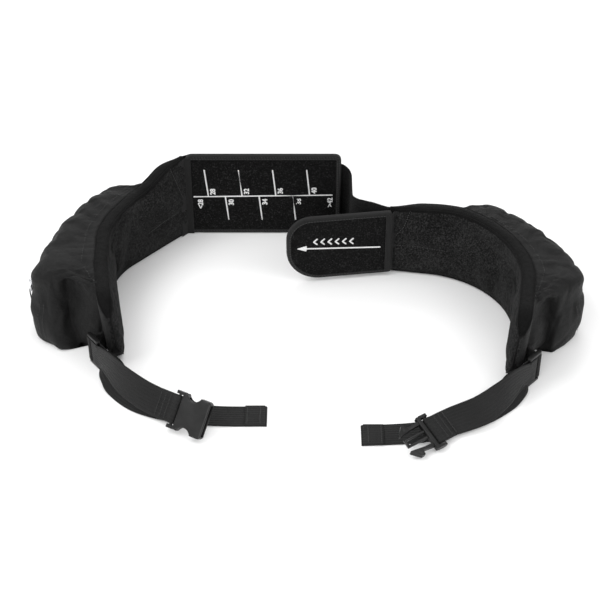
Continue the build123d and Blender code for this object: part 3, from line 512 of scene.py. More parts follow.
def bell(x, middle, width):
    return np.exp(-((x - middle)/width)**2)


def wing_top(side, p):
    """Height of the wing's top edge above a plan point."""
    a = radians(side.heading)
    along = (p[0] - side.start[0])*cos(a) + (p[1] - side.start[1])*sin(a)
    full = 5.5*bell(along, 32, 26) if side is LEFT else 0.0
    return table(side.heights, along) + full


def wing_lean(side, s, z):
    """How far the pad stands out of the CAD route at a height."""
    foot = table([(k, f) for k, f, _ in side.shift], s)
    top = table([(k, t) for k, _, t in side.shift], s)
    return -(foot + (top - foot)*z/114.0)


def crease(path, s, z, width):
    """1 on a line of (distance, height) points, falling to 0 beside it."""
    best = 1e9
    for (s0, z0), (s1, z1) in zip(path, path[1:]):
        ds, dz = s1 - s0, z1 - z0
        t = min(max(((s - s0)*ds + (z - z0)*dz)/(ds*ds + dz*dz), 0.0), 1.0)
        best = min(best, hypot(s - s0 - t*ds, z - z0 - t*dz))
    return bell(best, 0, width)


# ---------------------------------------------------------------- padded wings
BAND = [(0.50, 0.0), (0.30, 0.2), (0.13, 1.3), (0.055, 2.8), (0.0, 5.5)]     # (share of depth, inset)


def pad_section(side, s):
    """One ring of a wing's pad, from the middle of its lower edge up the inner face and back."""
    length = length_of(side)
    p, _, outward = wing(side, s)
    left = max(s - (length - NOSE), 0.0)
    inset = NOSE - sqrt(max(NOSE**2 - left**2, 0.0)) if left else 0.0
    end = min((length - s)/13.0, 1.0)
    round_end = 0.30 + 0.70*sqrt(max(1 - (1 - end)**2, 0.0))
    root = 0.42 + 0.58*smooth(s/48.0)
    low = inset + 0.5
    high = wing_top(side, p) - inset
    half = [(share, low + rise) for share, rise in BAND]
    half += [(0.0, z) for z in np.linspace(low + 9.0, high - 9.0, 28)]
    half += [(share, high - rise) for share, rise in reversed(BAND)]
    (upper, w0, d0), (diagonal, w1, d1), (dart, w2, d2) = side.creases
    ring = []
    for face in (0, 1):
        for share, z in (half if face == 0 else half[-2:0:-1]):
            h = (z - low)/(high - low)
            crown = 2.2*(1 - (2*h - 1)**4)*end
            depth = share if face == 0 else 1 - share
            d = THICK*root*(0.5 + (depth - 0.5)*round_end)
            if face == 0 and share < 0.02:
                d += -crown + d0*crease(upper, s, z, w0) + d1*crease(diagonal, s, z, w1)
                d += d2*crease(dart, s, z, w2) + 0.5*rough(s/23, z/17, side.outer)
                d -= 0.35*d0*crease(upper, s, z - 9, w0)
            elif face == 1 and share < 0.02:
                d += 0.4*crown
            if share > 0.1:
                z += (0.8 if h > 0.5 else -0.3)*(0.5 - abs(depth - 0.5))
                z += 0.5*rough(s/19, depth*2, 7.0)*(h > 0.5)
            d += wing_lean(side, s, z)*smooth(s/60)
            q = p + d*outward
            ring.append((q[0], q[1], max(z, 0.3)))
    return ring


def build_pad(side):
    body = f"{side.name}_wing"
    length = length_of(side)
    stations = list(np.arange(0, length - 34, 4.0)) + list(np.linspace(length - 32, length - 7, 10))
    stations += [length - 5.0, length - 3.2, length - 1.7, length - 0.6, length]
    rows = [pad_section(side, s) for s in stations]
    m = len(rows[0])
    half = m//2
    edge = len(BAND) - 1
    region = []
    for j in range(m):
        k = j if j < half else m - 1 - j
        region.append(1 if k < edge or k >= half - edge else (0 if j < half else 2))
    pad = skin(f"{side.name}_wing_pad", rows, ["spacer_mesh", "edge_nylon", "shell_nylon"], region=region)
    sewn = [i*m + j for i in range(len(rows)) for j in range(m)
            if i < 2 or i > len(rows) - 4 or min(j, half - j if j < half else j - half, m - j) < edge + 1
            or j > half]
    puff(pad, sewn, pressure=3.0, shrink=-0.015, cap=0.004)
    subdivide(pad)
    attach(pad, body)
    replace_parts(pad, *(f"{side.name}_{n}" for n in ("inner_mesh", "foam_pad", "edge_band", "outer_shell")))

    inner = np.array([row[half - edge + 1] for row in rows])
    outer_line = np.array([row[half + edge - 1] for row in rows])
    inner_low = np.array([row[edge - 1] for row in rows])
    nose_in = np.vstack((inner[2:], inner_low[:1:-1]))
    tube(f"{side.name}_inner_piping", nose_in, 1.15, "edge_nylon", body)
    tube(f"{side.name}_outer_piping", outer_line + (0, 0, 0.2), 1.0, "edge_nylon", body)
    line = inner*0.78 + outer_line*0.22 + UP*0.9
    stitches(f"{side.name}_edge_stitch_1", line[2:-6], np.tile(UP, (len(line) - 8, 1)), body)
    for label, (path, _, _) in zip(("diagonal", "dart"), side.creases[1:]):
        line, normals = [], []
        for (s0, z0), (s1, z1) in zip(path, path[1:]):
            for t in np.linspace(0, 1, 12, endpoint=False):
                s, z = s0 + (s1 - s0)*t, z0 + (z1 - z0)*t
                p, _, outward = wing(side, s, -40.0)
                hit, place, normal, _ = pad.ray_cast(Vector((*p, z))*MM, Vector((*outward, 0)))
                if hit:
                    line.append(np.array(place)/MM)
                    normals.append(np.array(normal))
        stitches(f"{side.name}_{label}_stitch", line, normals, body, pitch=3.6, length=2.6, radius=0.36)


# ---------------------------------------------------------------- pockets and zips
Track = namedtuple("Track", "centre radius front rear closed sense")
ZIP_MARGIN = 21.0              # closed length of the outer wall at each end of the zip
TOOTH_PITCH = 0.95
ZIP_CLOSED = 9.5               # from the zip's front end to the slider, shut
CORNER = 20.0                  # of the pocket's rounded front and rear corners


def circle_through(a, b, c):
    """Centre and radius of the circle through three plan points."""
    d = 2*(a[0]*(b[1] - c[1]) + b[0]*(c[1] - a[1]) + c[0]*(a[1] - b[1]))
    squares = [p[0]**2 + p[1]**2 for p in (a, b, c)]
    x = (squares[0]*(b[1] - c[1]) + squares[1]*(c[1] - a[1]) + squares[2]*(a[1] - b[1]))/d
    y = (squares[0]*(c[0] - b[0]) + squares[1]*(a[0] - c[0]) + squares[2]*(b[0] - a[0]))/d
    return np.array((x, y)), hypot(a[0] - x, a[1] - y)


def pocket_corners(side):
    """Plan points of a pocket's root, rear corner, middle, front corner and nose."""
    p = side.pocket
    places = ((p.root, 0), (p.rear, p.rear_depth), (p.middle, p.middle_depth), (p.front, p.front_depth),
              (p.nose, 0))
    return [wing(side, distance, POCKET_FACE + depth)[0] for distance, depth in places]


def zip_ends(side):
    """Centre and radius of the pocket's outer wall, and its angles at the front and the rear."""
    _, rear, middle, front, _ = pocket_corners(side)
    centre, radius = circle_through(rear, middle, front)
    first = atan2(front[1] - centre[1], front[0] - centre[0])
    last = atan2(rear[1] - centre[1], rear[0] - centre[0])
    if side.outer < 0:
        first, last = first % (2*pi), last % (2*pi)
    return centre, radius, first, last


def zip_of(side):
    centre, radius, first, last = zip_ends(side)
    sense = copysign(1, last - first)
    begin = first + sense*ZIP_MARGIN/radius
    return Track(centre, radius, begin, last - sense*ZIP_MARGIN/radius, begin + sense*ZIP_CLOSED/radius,
                 sense)


def on_zip(track, angle, out=0.0):
    return track.centre + (track.radius + out)*np.array((cos(angle), sin(angle)))


def round_corner(start, corner, end, t):
    return (1 - t)**2*start + 2*t*(1 - t)*corner + t*t*end


def pocket_path(side):
    """Places round a pocket from root to nose: (distance along the wing, plan point of the pocket's
    outer wall, share of the way along the front wall)."""
    pocket = side.pocket
    root, rear, _, front, nose = pocket_corners(side)
    track = zip_of(side)
    _, _, first, last = zip_ends(side)
    spare = track.sense*CORNER/track.radius
    before, after = rear + (root - rear)*CORNER/np.linalg.norm(root - rear), on_zip(track, last - spare)
    turn, back = pocket.front - 8, pocket.root + 24
    places = [(pocket.root + 16*t, root + (before - root)*t, 0.0) for t in np.linspace(0, 1, 8)]
    for t in np.linspace(0, 1, 7)[1:]:
        places.append((pocket.root + 16 + 8*t, round_corner(before, rear, after, t), 0.0))
    for t in np.linspace(0, 1, 44)[1:]:
        angle = last - spare + (first + 2*spare - last)*t
        places.append((back + (turn - back)*t, on_zip(track, angle), 0.0))
    start = places[-1][1]
    end = front + (nose - front)*CORNER/np.linalg.norm(nose - front)
    for t in np.linspace(0, 1, 7)[1:]:
        places.append((turn + 10*t, round_corner(start, front, end, t), 0.18*t))
    for t in np.linspace(0, 1, 24)[1:]:
        s = turn + 10 + (pocket.nose - turn - 10)*t
        places.append((s, end + (nose - end)*t, 0.18 + 0.82*t))
    return places


def pocket_row(side, s, outer_point, front):
    """One ring of a pocket: over its top, down its outer wall, back under it and up the wing."""
    inner_point, _, outward = wing(side, s, THICK - 2.0)
    crest = min(wing_top(side, wing(side, s)[0]) - 4.0, 112.0) + (3.0 if side is LEFT else 0.0)
    crest -= max(s - (length_of(side) - NOSE - 6), 0.0)*0.9
    inner_top = inner_point + outward*wing_lean(side, s, 100)*smooth(s/60)
    inner_foot = inner_point + outward*wing_lean(side, s, 8)*smooth(s/60)
    reach = outer_point - inner_top
    width = np.linalg.norm(reach)
    ring = []
    for q in np.linspace(0, 1, 19):
        x = sin(q*pi/2)**0.9
        z = ZIP_Z + (crest - ZIP_Z)*(1 - x**4.6)**(1/4.6) - 2.0*smooth(width/50)*sin(pi*x)
        pucker = 2.6*rough(s/5.5, 1.3*x, 3.0*side.outer)*max(1 - 2.2*x, 0.0)*min(x*6, 1)
        ridge = max(1 - abs(rough(s/26 + 1.9*x, 1.7*x, 9.0))*5.0, 0.0)
        fine = max(1 - abs(rough(s/13 - 1.5*x, 2.3*x, 4.0))*5.0, 0.0)
        fold = (3.0*rough(s/40, 1.8*x, 2.0) - 3.0*ridge - 1.5*fine)*(1 - x**5)
        p = inner_top + reach*x
        ring.append([p[0], p[1], z + (pucker + fold*sin(pi*x)**0.7)*smooth(width/26)])
    for q in np.linspace(0, 1, 13)[1:]:
        belly = 3.5*sin(pi*q) + 2.6*rough(s/12, q*2.6, 5.0)*sin(pi*q)
        p = outer_point + outward*belly*smooth(width/20)
        ring.append([p[0], p[1], ZIP_Z + (7.0 - ZIP_Z)*q])
    for q in (0.03, 0.12, 0.3, 0.5, 0.72, 0.92, 1.0):
        p = outer_point + (inner_foot - outer_point)*q
        ring.append([p[0], p[1], max(3.2 - 1.6*sin(pi*min(q*1.4, 1)) + 3.6*(q > 0.9), 0.8)])
    for q in (0.25, 0.5, 0.75, 0.92):
        p = inner_foot + (inner_top - inner_foot)*q
        ring.append([p[0], p[1], 7.0 + (crest - 7.0)*q])
    ring = np.array(ring)
    if front > 0.02:
        forwards = np.array(wing(side, side.pocket.nose)[1])
        for j, point in enumerate(ring[11:36], 11):
            h = min(max(point[2]/crest, 0.0), 1.0)
            if side is LEFT:
                hollow = 24.0*bell(front, 0.60, 0.15)*smooth((1.0 - h)/0.15)*(0.30 + 0.70*smooth(h/0.5))
                belly = 19.0*bell(front, 0.36, 0.22)*smooth((0.66 - h)/0.6)
            else:
                hollow = 22.0*bell(front, 0.74, 0.16)*smooth((0.98 - h)/0.2)
                belly = 4.0*bell(front, 0.45, 0.22)*smooth((0.66 - h)/0.6) - 7.0*bell(front, 0.1, 0.2)*(1 - h)
            gusset = 8.0*bell(front, 0.88, 0.10)*smooth((0.8 - h)/0.6)
            crease_line = max(1 - abs(rough(front*4 + h*2, h*2.5 - front, 6.0))*5.0, 0.0)
            crumple = (2.0*rough(front*9, h*3.5, 6.0) - 3.0*crease_line)*sin(pi*front)
            point[:2] += forwards*(belly + gusset + crumple - hollow)*smooth((j - 10)/4)
    return ring


def surface_line(obj, count, steps):
    """Points and normals, in millimetres, of a shaped skin's vertices at (row, column) steps."""
    chosen = [obj.data.vertices[i*count + j] for i, j in steps]
    return (np.array([v.co for v in chosen])/MM, np.array([v.normal for v in chosen]))


def build_pocket(side):
    body = f"{side.name}_wing"
    rows = [pocket_row(side, *place) for place in pocket_path(side)]
    pocket = skin(f"{side.name}_pocket_bag", rows, ["pocket_nylon"])
    m = len(rows[0])
    held = [i*m + j for i in range(len(rows)) for j in range(m)
            if i < 2 or i > len(rows) - 3 or j in (0, 1, 17, 18, 19) or j > 35]
    puff(pocket, held, pressure=2.0, shrink=-0.06, cap=0.007)
    for vertex in pocket.data.vertices:
        vertex.co.z = max(vertex.co.z, 0.9*MM)
    lines = {"top": [(i, 2) for i in range(3, len(rows) - 3)]}
    for way, i in (("front_a", len(rows) - 25), ("front_b", len(rows) - 24)):
        lines[way] = [(i, j) for j in range(20, 31)]
    for way, steps in lines.items():
        line, normals = surface_line(pocket, m, steps)
        stitches(f"{side.name}_pocket_stitch_{way}", line + normals*0.2, normals, body)
    subdivide(pocket)
    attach(pocket, body)
    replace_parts(pocket, f"{side.name}_pocket")


def build_zip(side):
    body = f"{side.name}_wing"
    track = zip_of(side)
    reach = abs(track.rear - track.front)*track.radius
    angles = np.linspace(track.front, track.rear, int(reach/2.5))
    tape = []
    for a in angles:
        ring = []
        for out, z in ((-1.2, -6.4), (0.5, -6.6), (0.95, -5.6), (0.8, -3.2), (0.45, -1.6), (0.45, 1.6),
                       (0.8, 3.2), (0.95, 5.6), (0.5, 6.6), (-1.2, 6.4)):
            ring.append((*on_zip(track, a, out), ZIP_Z + z))
        tape.append(ring)
    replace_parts(skin(f"{side.name}_zip_tape", tape, ["binding_tape"], body), f"{side.name}_zip_tapes")
    for way in (-1, 1):
        line = [(*on_zip(track, a, 0.8), ZIP_Z + way*4.6) for a in angles]
        normals = [(cos(a), sin(a), 0) for a in angles]
        stitches(f"{side.name}_zip_stitch_{'up' if way > 0 else 'low'}", line, normals, body,
                 pitch=3.4, length=2.3, radius=0.32)

    vertices, faces = [], []
    for k in range(int((reach - 6)/TOOTH_PITCH)):
        a = track.front + track.sense*(3.4 + TOOTH_PITCH*k)/track.radius
        shift = 0.22*(-1)**k
        base = len(vertices)
        for da, wide, out in ((-0.34, 1.0, 0.35), (0.0, 1.25, 0.85), (0.34, 1.0, 0.35)):
            b = a + da/track.radius
            for z, push in ((-1.15, 0.0), (-0.6, 0.5), (0.6, 0.5), (1.15, 0.0)):
                vertices.append((*on_zip(track, b, out*0.7 + push*out), ZIP_Z + shift + z*wide))
            vertices.append((*on_zip(track, b, -0.3), ZIP_Z + shift))
        faces += prism(base, 3, 5)
    teeth = new_object(f"{side.name}_zip_teeth", vertices, faces, ["zip_teeth"], body)
    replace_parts(teeth, f"{side.name}_zip_coil")


# ---------------------------------------------------------------- zip pulls
CORD_ROUTE = [(2.2, -39.0), (2.2, -30.5), (2.9, -22.0), (2.35, -13.5),
              (-2.35, -13.5), (-2.9, -22.0), (-2.2, -30.5), (-2.2, -39.0)]
BRIDGE_OUT = 6.3


def build_pull(side):
    track = zip_of(side)
    a = track.closed
    out = np.array((cos(a), sin(a)))
    origin = on_zip(track, a, BRIDGE_OUT)
    body = f"{side.name}_pull"

    def at(x, z):
        return (*(origin + out*x), ZIP_Z + z)

    line = bpy.data.curves.new(f"{side.name}_cord_line", "CURVE")
    line.dimensions = "3D"
    run = line.splines.new("NURBS")
    run.points.add(len(CORD_ROUTE) - 1)
    for point, place in zip(run.points, CORD_ROUTE):
        point.co = (*(Vector(at(*place))*MM), 1.0)
    run.order_u = 3
    run.use_endpoint_u = True
    run.resolution_u = 12
    line.bevel_depth = 0.0009
    line.bevel_resolution = 4
    line.materials.append(MATERIALS["pull_cord"])
    cord = bpy.data.objects.new(f"{side.name}_cord_loop", line)
    scene.collection.objects.link(cord)
    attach(cord, body)
    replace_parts(cord, f"{side.name}_pull_cord")
    grip = build_grip(side, origin, out)
    Vector(at(*CORD_ROUTE[0]))*MM


def build_grip(side, origin, out):
    """A ribbed grip moulded over the ends of the cord."""
    along = np.array((-out[1], out[0]))
    rows = []
    for k in range(43):
        t = k/42
        z = -38.6 - 21.0*t
        rib = 0.45*(0.5 + 0.5*cos(2*pi*t*6.5)) if 0.14 < t < 0.9 else 0.0
        swell = 0.86 + 0.14*sin(pi*t) - 0.5*(max(t - 0.86, 0)/0.14)**2
        top = smooth(t/0.06)*0.35 + 0.65
        ring = []
        for j in range(20):
            b = 2*pi*j/20
            x = copysign(abs(cos(b))**0.62, cos(b))*(3.6*swell*top - rib)
            y = copysign(abs(sin(b))**0.62, sin(b))*(3.3*swell*top - rib)
            ring.append((*(origin + out*x + along*y), ZIP_Z + z))
        rows.append(ring)
    grip = skin(f"{side.name}_cord_grip", rows, ["grip_rubber"], f"{side.name}_pull")
    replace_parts(grip, f"{side.name}_pull_grip")
    return grip


# ---------------------------------------------------------------- webbing
def webbing(name, points, across, body, step=2.4):
    """A woven strap whose middle goes through points, with a direction across it at each one."""
    joined = np.hstack((np.asarray(points, float), np.asarray(across, float)))
    made, tangents = spline(joined, step)
    rows = []
    half = [(0.12, 0.96), (0.36, 1.0), (0.6, 0.96), (0.82, 1.0), (0.90, 1.12), (0.97, 0.95), (1.0, 0.45)]
    profile = [(-share, fat) for share, fat in reversed(half)] + half
    for row, tangent in zip(made, tangents):
        wide = row[3:] - tangent*np.dot(row[3:], tangent)
        wide /= np.linalg.norm(wide)
        normal = np.cross(tangent, wide)
        ring = [row[:3] + wide*share*WEB/2 + normal*WEB_HALF*fat for share, fat in profile]
        ring += [row[:3] + wide*share*WEB/2 - normal*WEB_HALF*fat for share, fat in reversed(profile)]
        rows.append(ring)
    return skin(name, rows, ["webbing"], body)


def rear_bar(side):
    """Plan point of a ladder lock's rear bar, and the anchor webbing's plan route to it."""
    start, along, _ = wing(side, length_of(side) - side.anchor_back, THICK + 1.6)
    heading = degrees(atan2(along[1], along[0]))
    legs = ((3.0, 0), (8.0, side.anchor_turn), (side.anchor_reach, 0))
    total = sum(leg_length(leg) for leg in legs)
    return walk(start, heading, legs, total)[0], (start, heading, legs, total)


def strap_frame(side, bar, place):
    """Middle of the strap, and the directions along, across and out of it, at a place from the bar."""
    x, y, z, heading, tilt = place
    lean, a, t = side.lean, radians(heading), radians(tilt)
    along = np.array((cos(a), sin(a), 0.0))
    across = np.array((-lean*sin(a)*sin(t), lean*cos(a)*sin(t), cos(t)))
    return np.array((bar[0] + x, bar[1] + y, z)), along, across, np.cross(along, across)*lean


def build_strap(side):
    bar, _ = rear_bar(side)
    a = radians(side.lock_heading)
    fore, left = np.array((cos(a), sin(a))), np.array((-sin(a), cos(a)))

    def lock(u, v):
        p = bar + fore*u + left*v
        return np.array((p[0], p[1], WEB_Z))

    fixed = [strap_frame(side, bar, place) for place in side.fixed]
    tail = [strap_frame(side, bar, place) for place in side.tail]
    last, along, across, out = fixed[-1]
    pin = last + along*SEWN_TAB
    points, wides = [], []

    def add(point, wide):
        points.append(point)
        wides.append(wide)

    for u, n in ((-28.5, -0.95), (-20, -0.95), (-9, -1.1), (-5, -2.1), (-1.6, -3.0), (1.9, -2.5),
                 (3.1, 0.0), (1.9, 2.5), (-1.6, 3.0), (-5, 2.1), (-9, 1.1), (-20, 0.85)):
        add(pin + along*u + out*n, across)
    for middle, _, wide, _ in reversed(fixed):
        add(middle, wide)
    v = -side.lean*WRAP
    for u, w in ((26, v), (18, v), (10, v), (6.8, v*0.71), (5.9, 0.0), (6.8, -v*0.71), (10, -v),
                 (18, -v), (26, -v)):
        add(lock(u, w), UP)
    for middle, _, wide, _ in tail:
        add(middle, wide)
    end, end_along, end_wide, _ = tail[-1]
    points[-1] = end - end_along*2.0
    for u, z in ((-0.5, 0.12), (0.1, 0.85), (-0.5, 1.6), (-3.0, 1.72), (-12.0, 1.70), (-HEM, 1.66)):
        add(end + end_along*u + UP*z, end_wide)
    strap = webbing(f"{side.name}_webbing", points, wides, f"{side.name}_strap_run")
    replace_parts(strap, f"{side.name}_strap")

    for name, middle, forward, wide, normal, spans in (
            ("tab_tack", pin, along, across, out*1.85, (-26.0, -19.0, -12.0)),
            ("hem_tack", end, end_along, end_wide, UP*2.55, (-6.0, -HEM + 3.0))):
        for number, place in enumerate(spans):
            line = [middle + forward*(place + 0.7*(-1)**k) + wide*(-0.86 + 1.72*k/32)*WEB/2 + normal
                    for k in range(33)]
            tube(f"{side.name}_{name}_{number}", line, 0.38, "black_thread", f"{side.name}_strap_run", 6)


def build_anchor(side):
    """The loop of webbing that holds a ladder lock's rear bar to the wing."""
    bar, (start, heading, legs, total) = rear_bar(side)
    distances = [min(d, total - 4) for d in (0.0, 3.0, 6.0, 9.0, 12.0, 16.0)]
    plan = []
    for d in distances:
        p, b = walk(start, heading, legs, d)
        plan.append(p + 0.85*np.array((-sin(b), cos(b))))
    _, b = walk(start, heading, legs, total - 0.5)
    toward, side_way = np.array((cos(b), sin(b))), np.array((-sin(b), cos(b)))
    for u, n in ((-5, 1.4), (-1.8, 2.9), (1.8, 2.6), (3.1, 0.0), (1.8, -2.6), (-1.8, -2.9), (-5, -1.4)):
        plan.append(bar + toward*u + side_way*n)
    for d in reversed(distances):
        p, b = walk(start, heading, legs, d)
        plan.append(p - 0.85*np.array((-sin(b), cos(b))))
    kept = [plan[0]]
    for p in plan[1:]:
        if np.linalg.norm(p - kept[-1]) > 0.6:
            kept.append(p)
    loop = webbing(f"{side.name}_anchor_webbing", [(p[0], p[1], WEB_Z) for p in kept],
                   [UP]*len(kept), f"{side.name}_wing", step=1.2)
    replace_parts(loop, f"{side.name}_anchor_loop")


# ---------------------------------------------------------------- lumbar panel and tongue
def rounded(corners, radii):
    """Points round a shape with rounded corners, and the directions inwards."""
    corners = [np.array(c, float) for c in corners]
    points = []
    for i, (corner, radius) in enumerate(zip(corners, radii)):
        before = corners[i - 1] - corner
        after = corners[(i + 1) % len(corners)] - corner
        before /= np.linalg.norm(before)
        after /= np.linalg.norm(after)
        a, b = corner + before*radius, corner + after*radius
        centre = corner + (before + after)*radius
        first, last = atan2(*(a - centre)[::-1]), atan2(*(b - centre)[::-1])
        turn = (last - first + pi) % (2*pi) - pi
        count = max(int(abs(turn)*radius/2.5), 3)
        points += [centre + radius*np.array((cos(first + turn*t), sin(first + turn*t)))
                   for t in np.linspace(0, 1, count)]
        following = corners[(i + 1) % len(corners)]
        to = following - after*radii[(i + 1) % len(corners)]
        gap = np.linalg.norm(to - b)
        points += [b + (to - b)*t for t in np.linspace(0, 1, int(gap/4.0) + 1)[1:-1]]
    points = np.array(points)
    tangents = np.roll(points, -1, axis=0) - np.roll(points, 1, axis=0)
    tangents /= np.linalg.norm(tangents, axis=1, keepdims=True)
    inward = np.stack((-tangents[:, 1], tangents[:, 0]), axis=1)
    middle = points.mean(0)
    if ((middle - points)*inward).sum() < 0:
        inward = -inward
    return points, inward


def board(name, outline, inward, inset, front, back, place, materials, body, wave):
    """A thin padded board: its front is shaped by wave, fading out towards the outline, and its back is flat.
    """
    rows = []
    edge = outline + inward*inset
    middle = edge.mean(0)
    shares = [0.0, 0.12, 0.25, 0.38, 0.5, 0.62, 0.74, 0.85, 0.93, 0.98]
    for p in edge:
        row = []
        for share in shares:
            q = middle + (p - middle)*share
            row.append(place(q[0], q[1], front + wave(q[0], q[1])*(1 - share**6)))
        row.append(place(*p, front*0.7 + back*0.3))
        row.append(place(*p, front*0.3 + back*0.7))
        for share in reversed(shares):
            q = middle + (p - middle)*share
            row.append(place(q[0], q[1], back))
        rows.append(row)
    region = [0]*(len(shares)) + [1]*(len(shares) + 2)
    return skin(name, rows, materials, body, closed=False, loop=True, region=region)


def rim(name, outline, inward, width, front, back, place, body):
    """Binding tape folded over an edge; front and back are depths of the board's two faces."""
    way, swell = copysign(1, front - back), 0.9
    rows = []
    for k, (p, n) in enumerate(zip(outline, inward)):
        slack = 0.18*sin(k*1.9) + 0.22*rough(k/3.1, 4.0)
        ring = []
        for inset, depth in ((width, front - way*0.4), (width + 0.1, front + way*0.35),
                             (width - 0.9, front + way*swell), (width*0.55, front + way*(swell + slack*0.5)),
                             (1.6, front + way*swell*0.8), (0.25, front - way*0.6),
                             (0.0, (front + back)/2), (0.25, back + way*0.6), (1.6, back - way*swell*0.8),
                             (width*0.55, back - way*swell), (width - 0.9, back - way*swell),
                             (width + 0.1, back - way*0.35), (width, back + way*0.4),
                             (width*0.5, (front + back)/2)):
            q = p + n*inset
            ring.append(place(q[0], q[1], depth))
        rows.append(ring)
    return subdivide(skin(name, rows, ["binding_tape"], body, loop=True))


def satin(name, lines, width, height, place, body):
    """Satin stitched bars in white thread; lines are lists of (x, up) points, or (x, up, width)."""
    vertices, faces = [], []
    profile = ((-0.5, -0.3), (-0.42, 0.6), (-0.15, 1.0), (0.15, 1.0), (0.42, 0.6), (0.5, -0.3))
    for line in lines:
        points = np.array([p[:2] for p in line], float)
        widths = np.array([p[2] if len(p) > 2 else width for p in line], float)
        steps = np.concatenate(([0.0], np.cumsum(np.linalg.norm(np.diff(points, axis=0), axis=1))))
        places = np.arange(0, steps[-1] + 1e-6, 0.55)
        base = len(vertices)
        for k, d in enumerate(places):
            p = at_distance(d, steps, points)
            along = at_distance(min(d + 0.3, steps[-1]), steps, points)
            along -= at_distance(max(d - 0.3, 0), steps, points)
            along /= np.linalg.norm(along)
            side_way = np.array((-along[1], along[0]))
            wide = np.interp(d, steps, widths)*(1 + 0.07*sin(k*2.3) + 0.05*sin(k*5.1))
            lift = height*(1.0 if k % 2 else 0.72)
            ends = 0.55 if k in (0, len(places) - 1) else 1.0
            for share, rise in profile:
                q = p + side_way*wide*share*ends
                vertices.append(place(q[0], q[1], lift*rise))
        faces += prism(base, len(places), len(profile))
    return new_object(name, vertices, faces, ["white_thread"], body)


PANEL_LEFT, PANEL_RIGHT, PANEL_TOP = -118.0, 114.0, 139.0
PANEL_FRONT, PANEL_BACK = -5.0, 3.0
FIRST_MARK, MARK_PITCH, MARK_LEAN = -85.5, 25.4, radians(5.5)
SATIN = 0.75                   # how far satin stitches stand out


def scale_line(x):
    """Height of the size scale's base line."""
    return 67.0 + 3.0*(x + 108.0)/210.0


def stitch_round(name, outline, inward, inset, at, normal, body):
    """Stitches round a board, inset from its outline; at gives the place of a point of its face."""
    loop = np.vstack((outline, outline[:1])) + np.vstack((inward, inward[:1]))*inset
    stitches(name, [at(*p) for p in loop], np.tile(normal, (len(loop), 1)), body)


def build_panel():
    def place(x, up, y):
        return (x, y, up)

    corners = [(PANEL_LEFT, 0.3), (PANEL_RIGHT, 0.3), (PANEL_RIGHT, PANEL_TOP), (PANEL_LEFT, PANEL_TOP)]
    outline, inward = rounded(corners, [9]*4)
    panel = board("lumbar_panel", outline, inward, 2.0, PANEL_FRONT, PANEL_BACK, place,
                  ["loop_field", "hook_field"], "lumbar", lambda x, z: 0.7*rough(x/45, z/40, 2.0) - 0.5)
    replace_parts(panel, "lumbar_back_loop", "lumbar_stiffener", "lumbar_foam", "lumbar_front_loop")
    binding = rim("lumbar_tape", outline, inward, 7.5, PANEL_FRONT, PANEL_BACK, place, "lumbar")
    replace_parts(binding, "lumbar_binding")
    for number, inset in ((1, 5.4), (2, 2.9)):
        stitch_round(f"lumbar_stitch_{number}", outline, inward, inset,
                     lambda x, up: (x, PANEL_FRONT - 0.95, up), (0, -1.0, 0), "lumbar")

    def on_face(x, up, lift):
        return (x, PANEL_FRONT - 0.15 - lift, up)

    lines = [[(-108, scale_line(-108)), (102, scale_line(102))]]
    labels = []
    for mark in range(7):
        x, above = FIRST_MARK + MARK_PITCH*mark, mark % 2 == 0
        root, tip = scale_line(x), 115.0 if above else 25.0
        lines.append([(x, root), (x - tan(MARK_LEAN)*(tip - root), tip)])
        labels.append((str(28 + 2*mark), x, above))
    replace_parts(satin("size_marks", lines, 2.3, SATIN, on_face, "lumbar"), "size_scale")
    labels += [("<28", -107.0, False), (">42", 88.5, False)]
    for text, x, above in labels:
        line = scale_line(x)
        low = line + 3.4 if above else line - 3.4 - (12.5 if len(text) == 2 else 18.0)
        figures(text, (x - tan(MARK_LEAN)*(low + 6 - line) + 11.2, PANEL_FRONT - 0.25, low))


def figures(text, place):
    """Stitched figures that read upwards on the panel's face."""
    line = bpy.data.curves.new("figures", "FONT")
    line.body = text
    line.size = 10.6*MM
    line.extrude = 0.30*MM
    line.bevel_depth = 0.22*MM
    line.bevel_resolution = 2
    line.offset = 0.12*MM
    made = bpy.data.objects.new("figures", line)
    scene.collection.objects.link(made)
    bpy.context.view_layer.update()
    data = bpy.data.meshes.new_from_object(made.evaluated_get(bpy.context.evaluated_depsgraph_get()))
    bpy.data.objects.remove(made)
    name = "figures_" + {"<": "below_", ">": "over_"}.get(text[0], "") + text.strip("<>")
    data.transform(Matrix(((0, -1, 0, place[0]*MM), (0, 0, -1, place[1]*MM), (1, 0, 0, place[2]*MM),
                           (0, 0, 0, 1))))
    data.materials.clear()
    data.materials.append(MATERIALS["white_thread"])
    placed = bpy.data.objects.new(name, data)
    scene.collection.objects.link(placed)
    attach(placed, "lumbar")


TONGUE_ROOT = np.array((184.0, -104.3))
TONGUE_LENGTH, TONGUE_LOW, TONGUE_HIGH, TONGUE_DEPTH = 153.0, 5.0, 111.0, 8.0
TONGUE_WAY = np.array((cos(radians(188.0)), sin(radians(188.0))))
TONGUE_BACK = np.array((TONGUE_WAY[1], -TONGUE_WAY[0]))


def on_tongue(x, up, depth):
    p = TONGUE_ROOT + TONGUE_WAY*x - TONGUE_BACK*depth
    return (p[0], p[1], up)


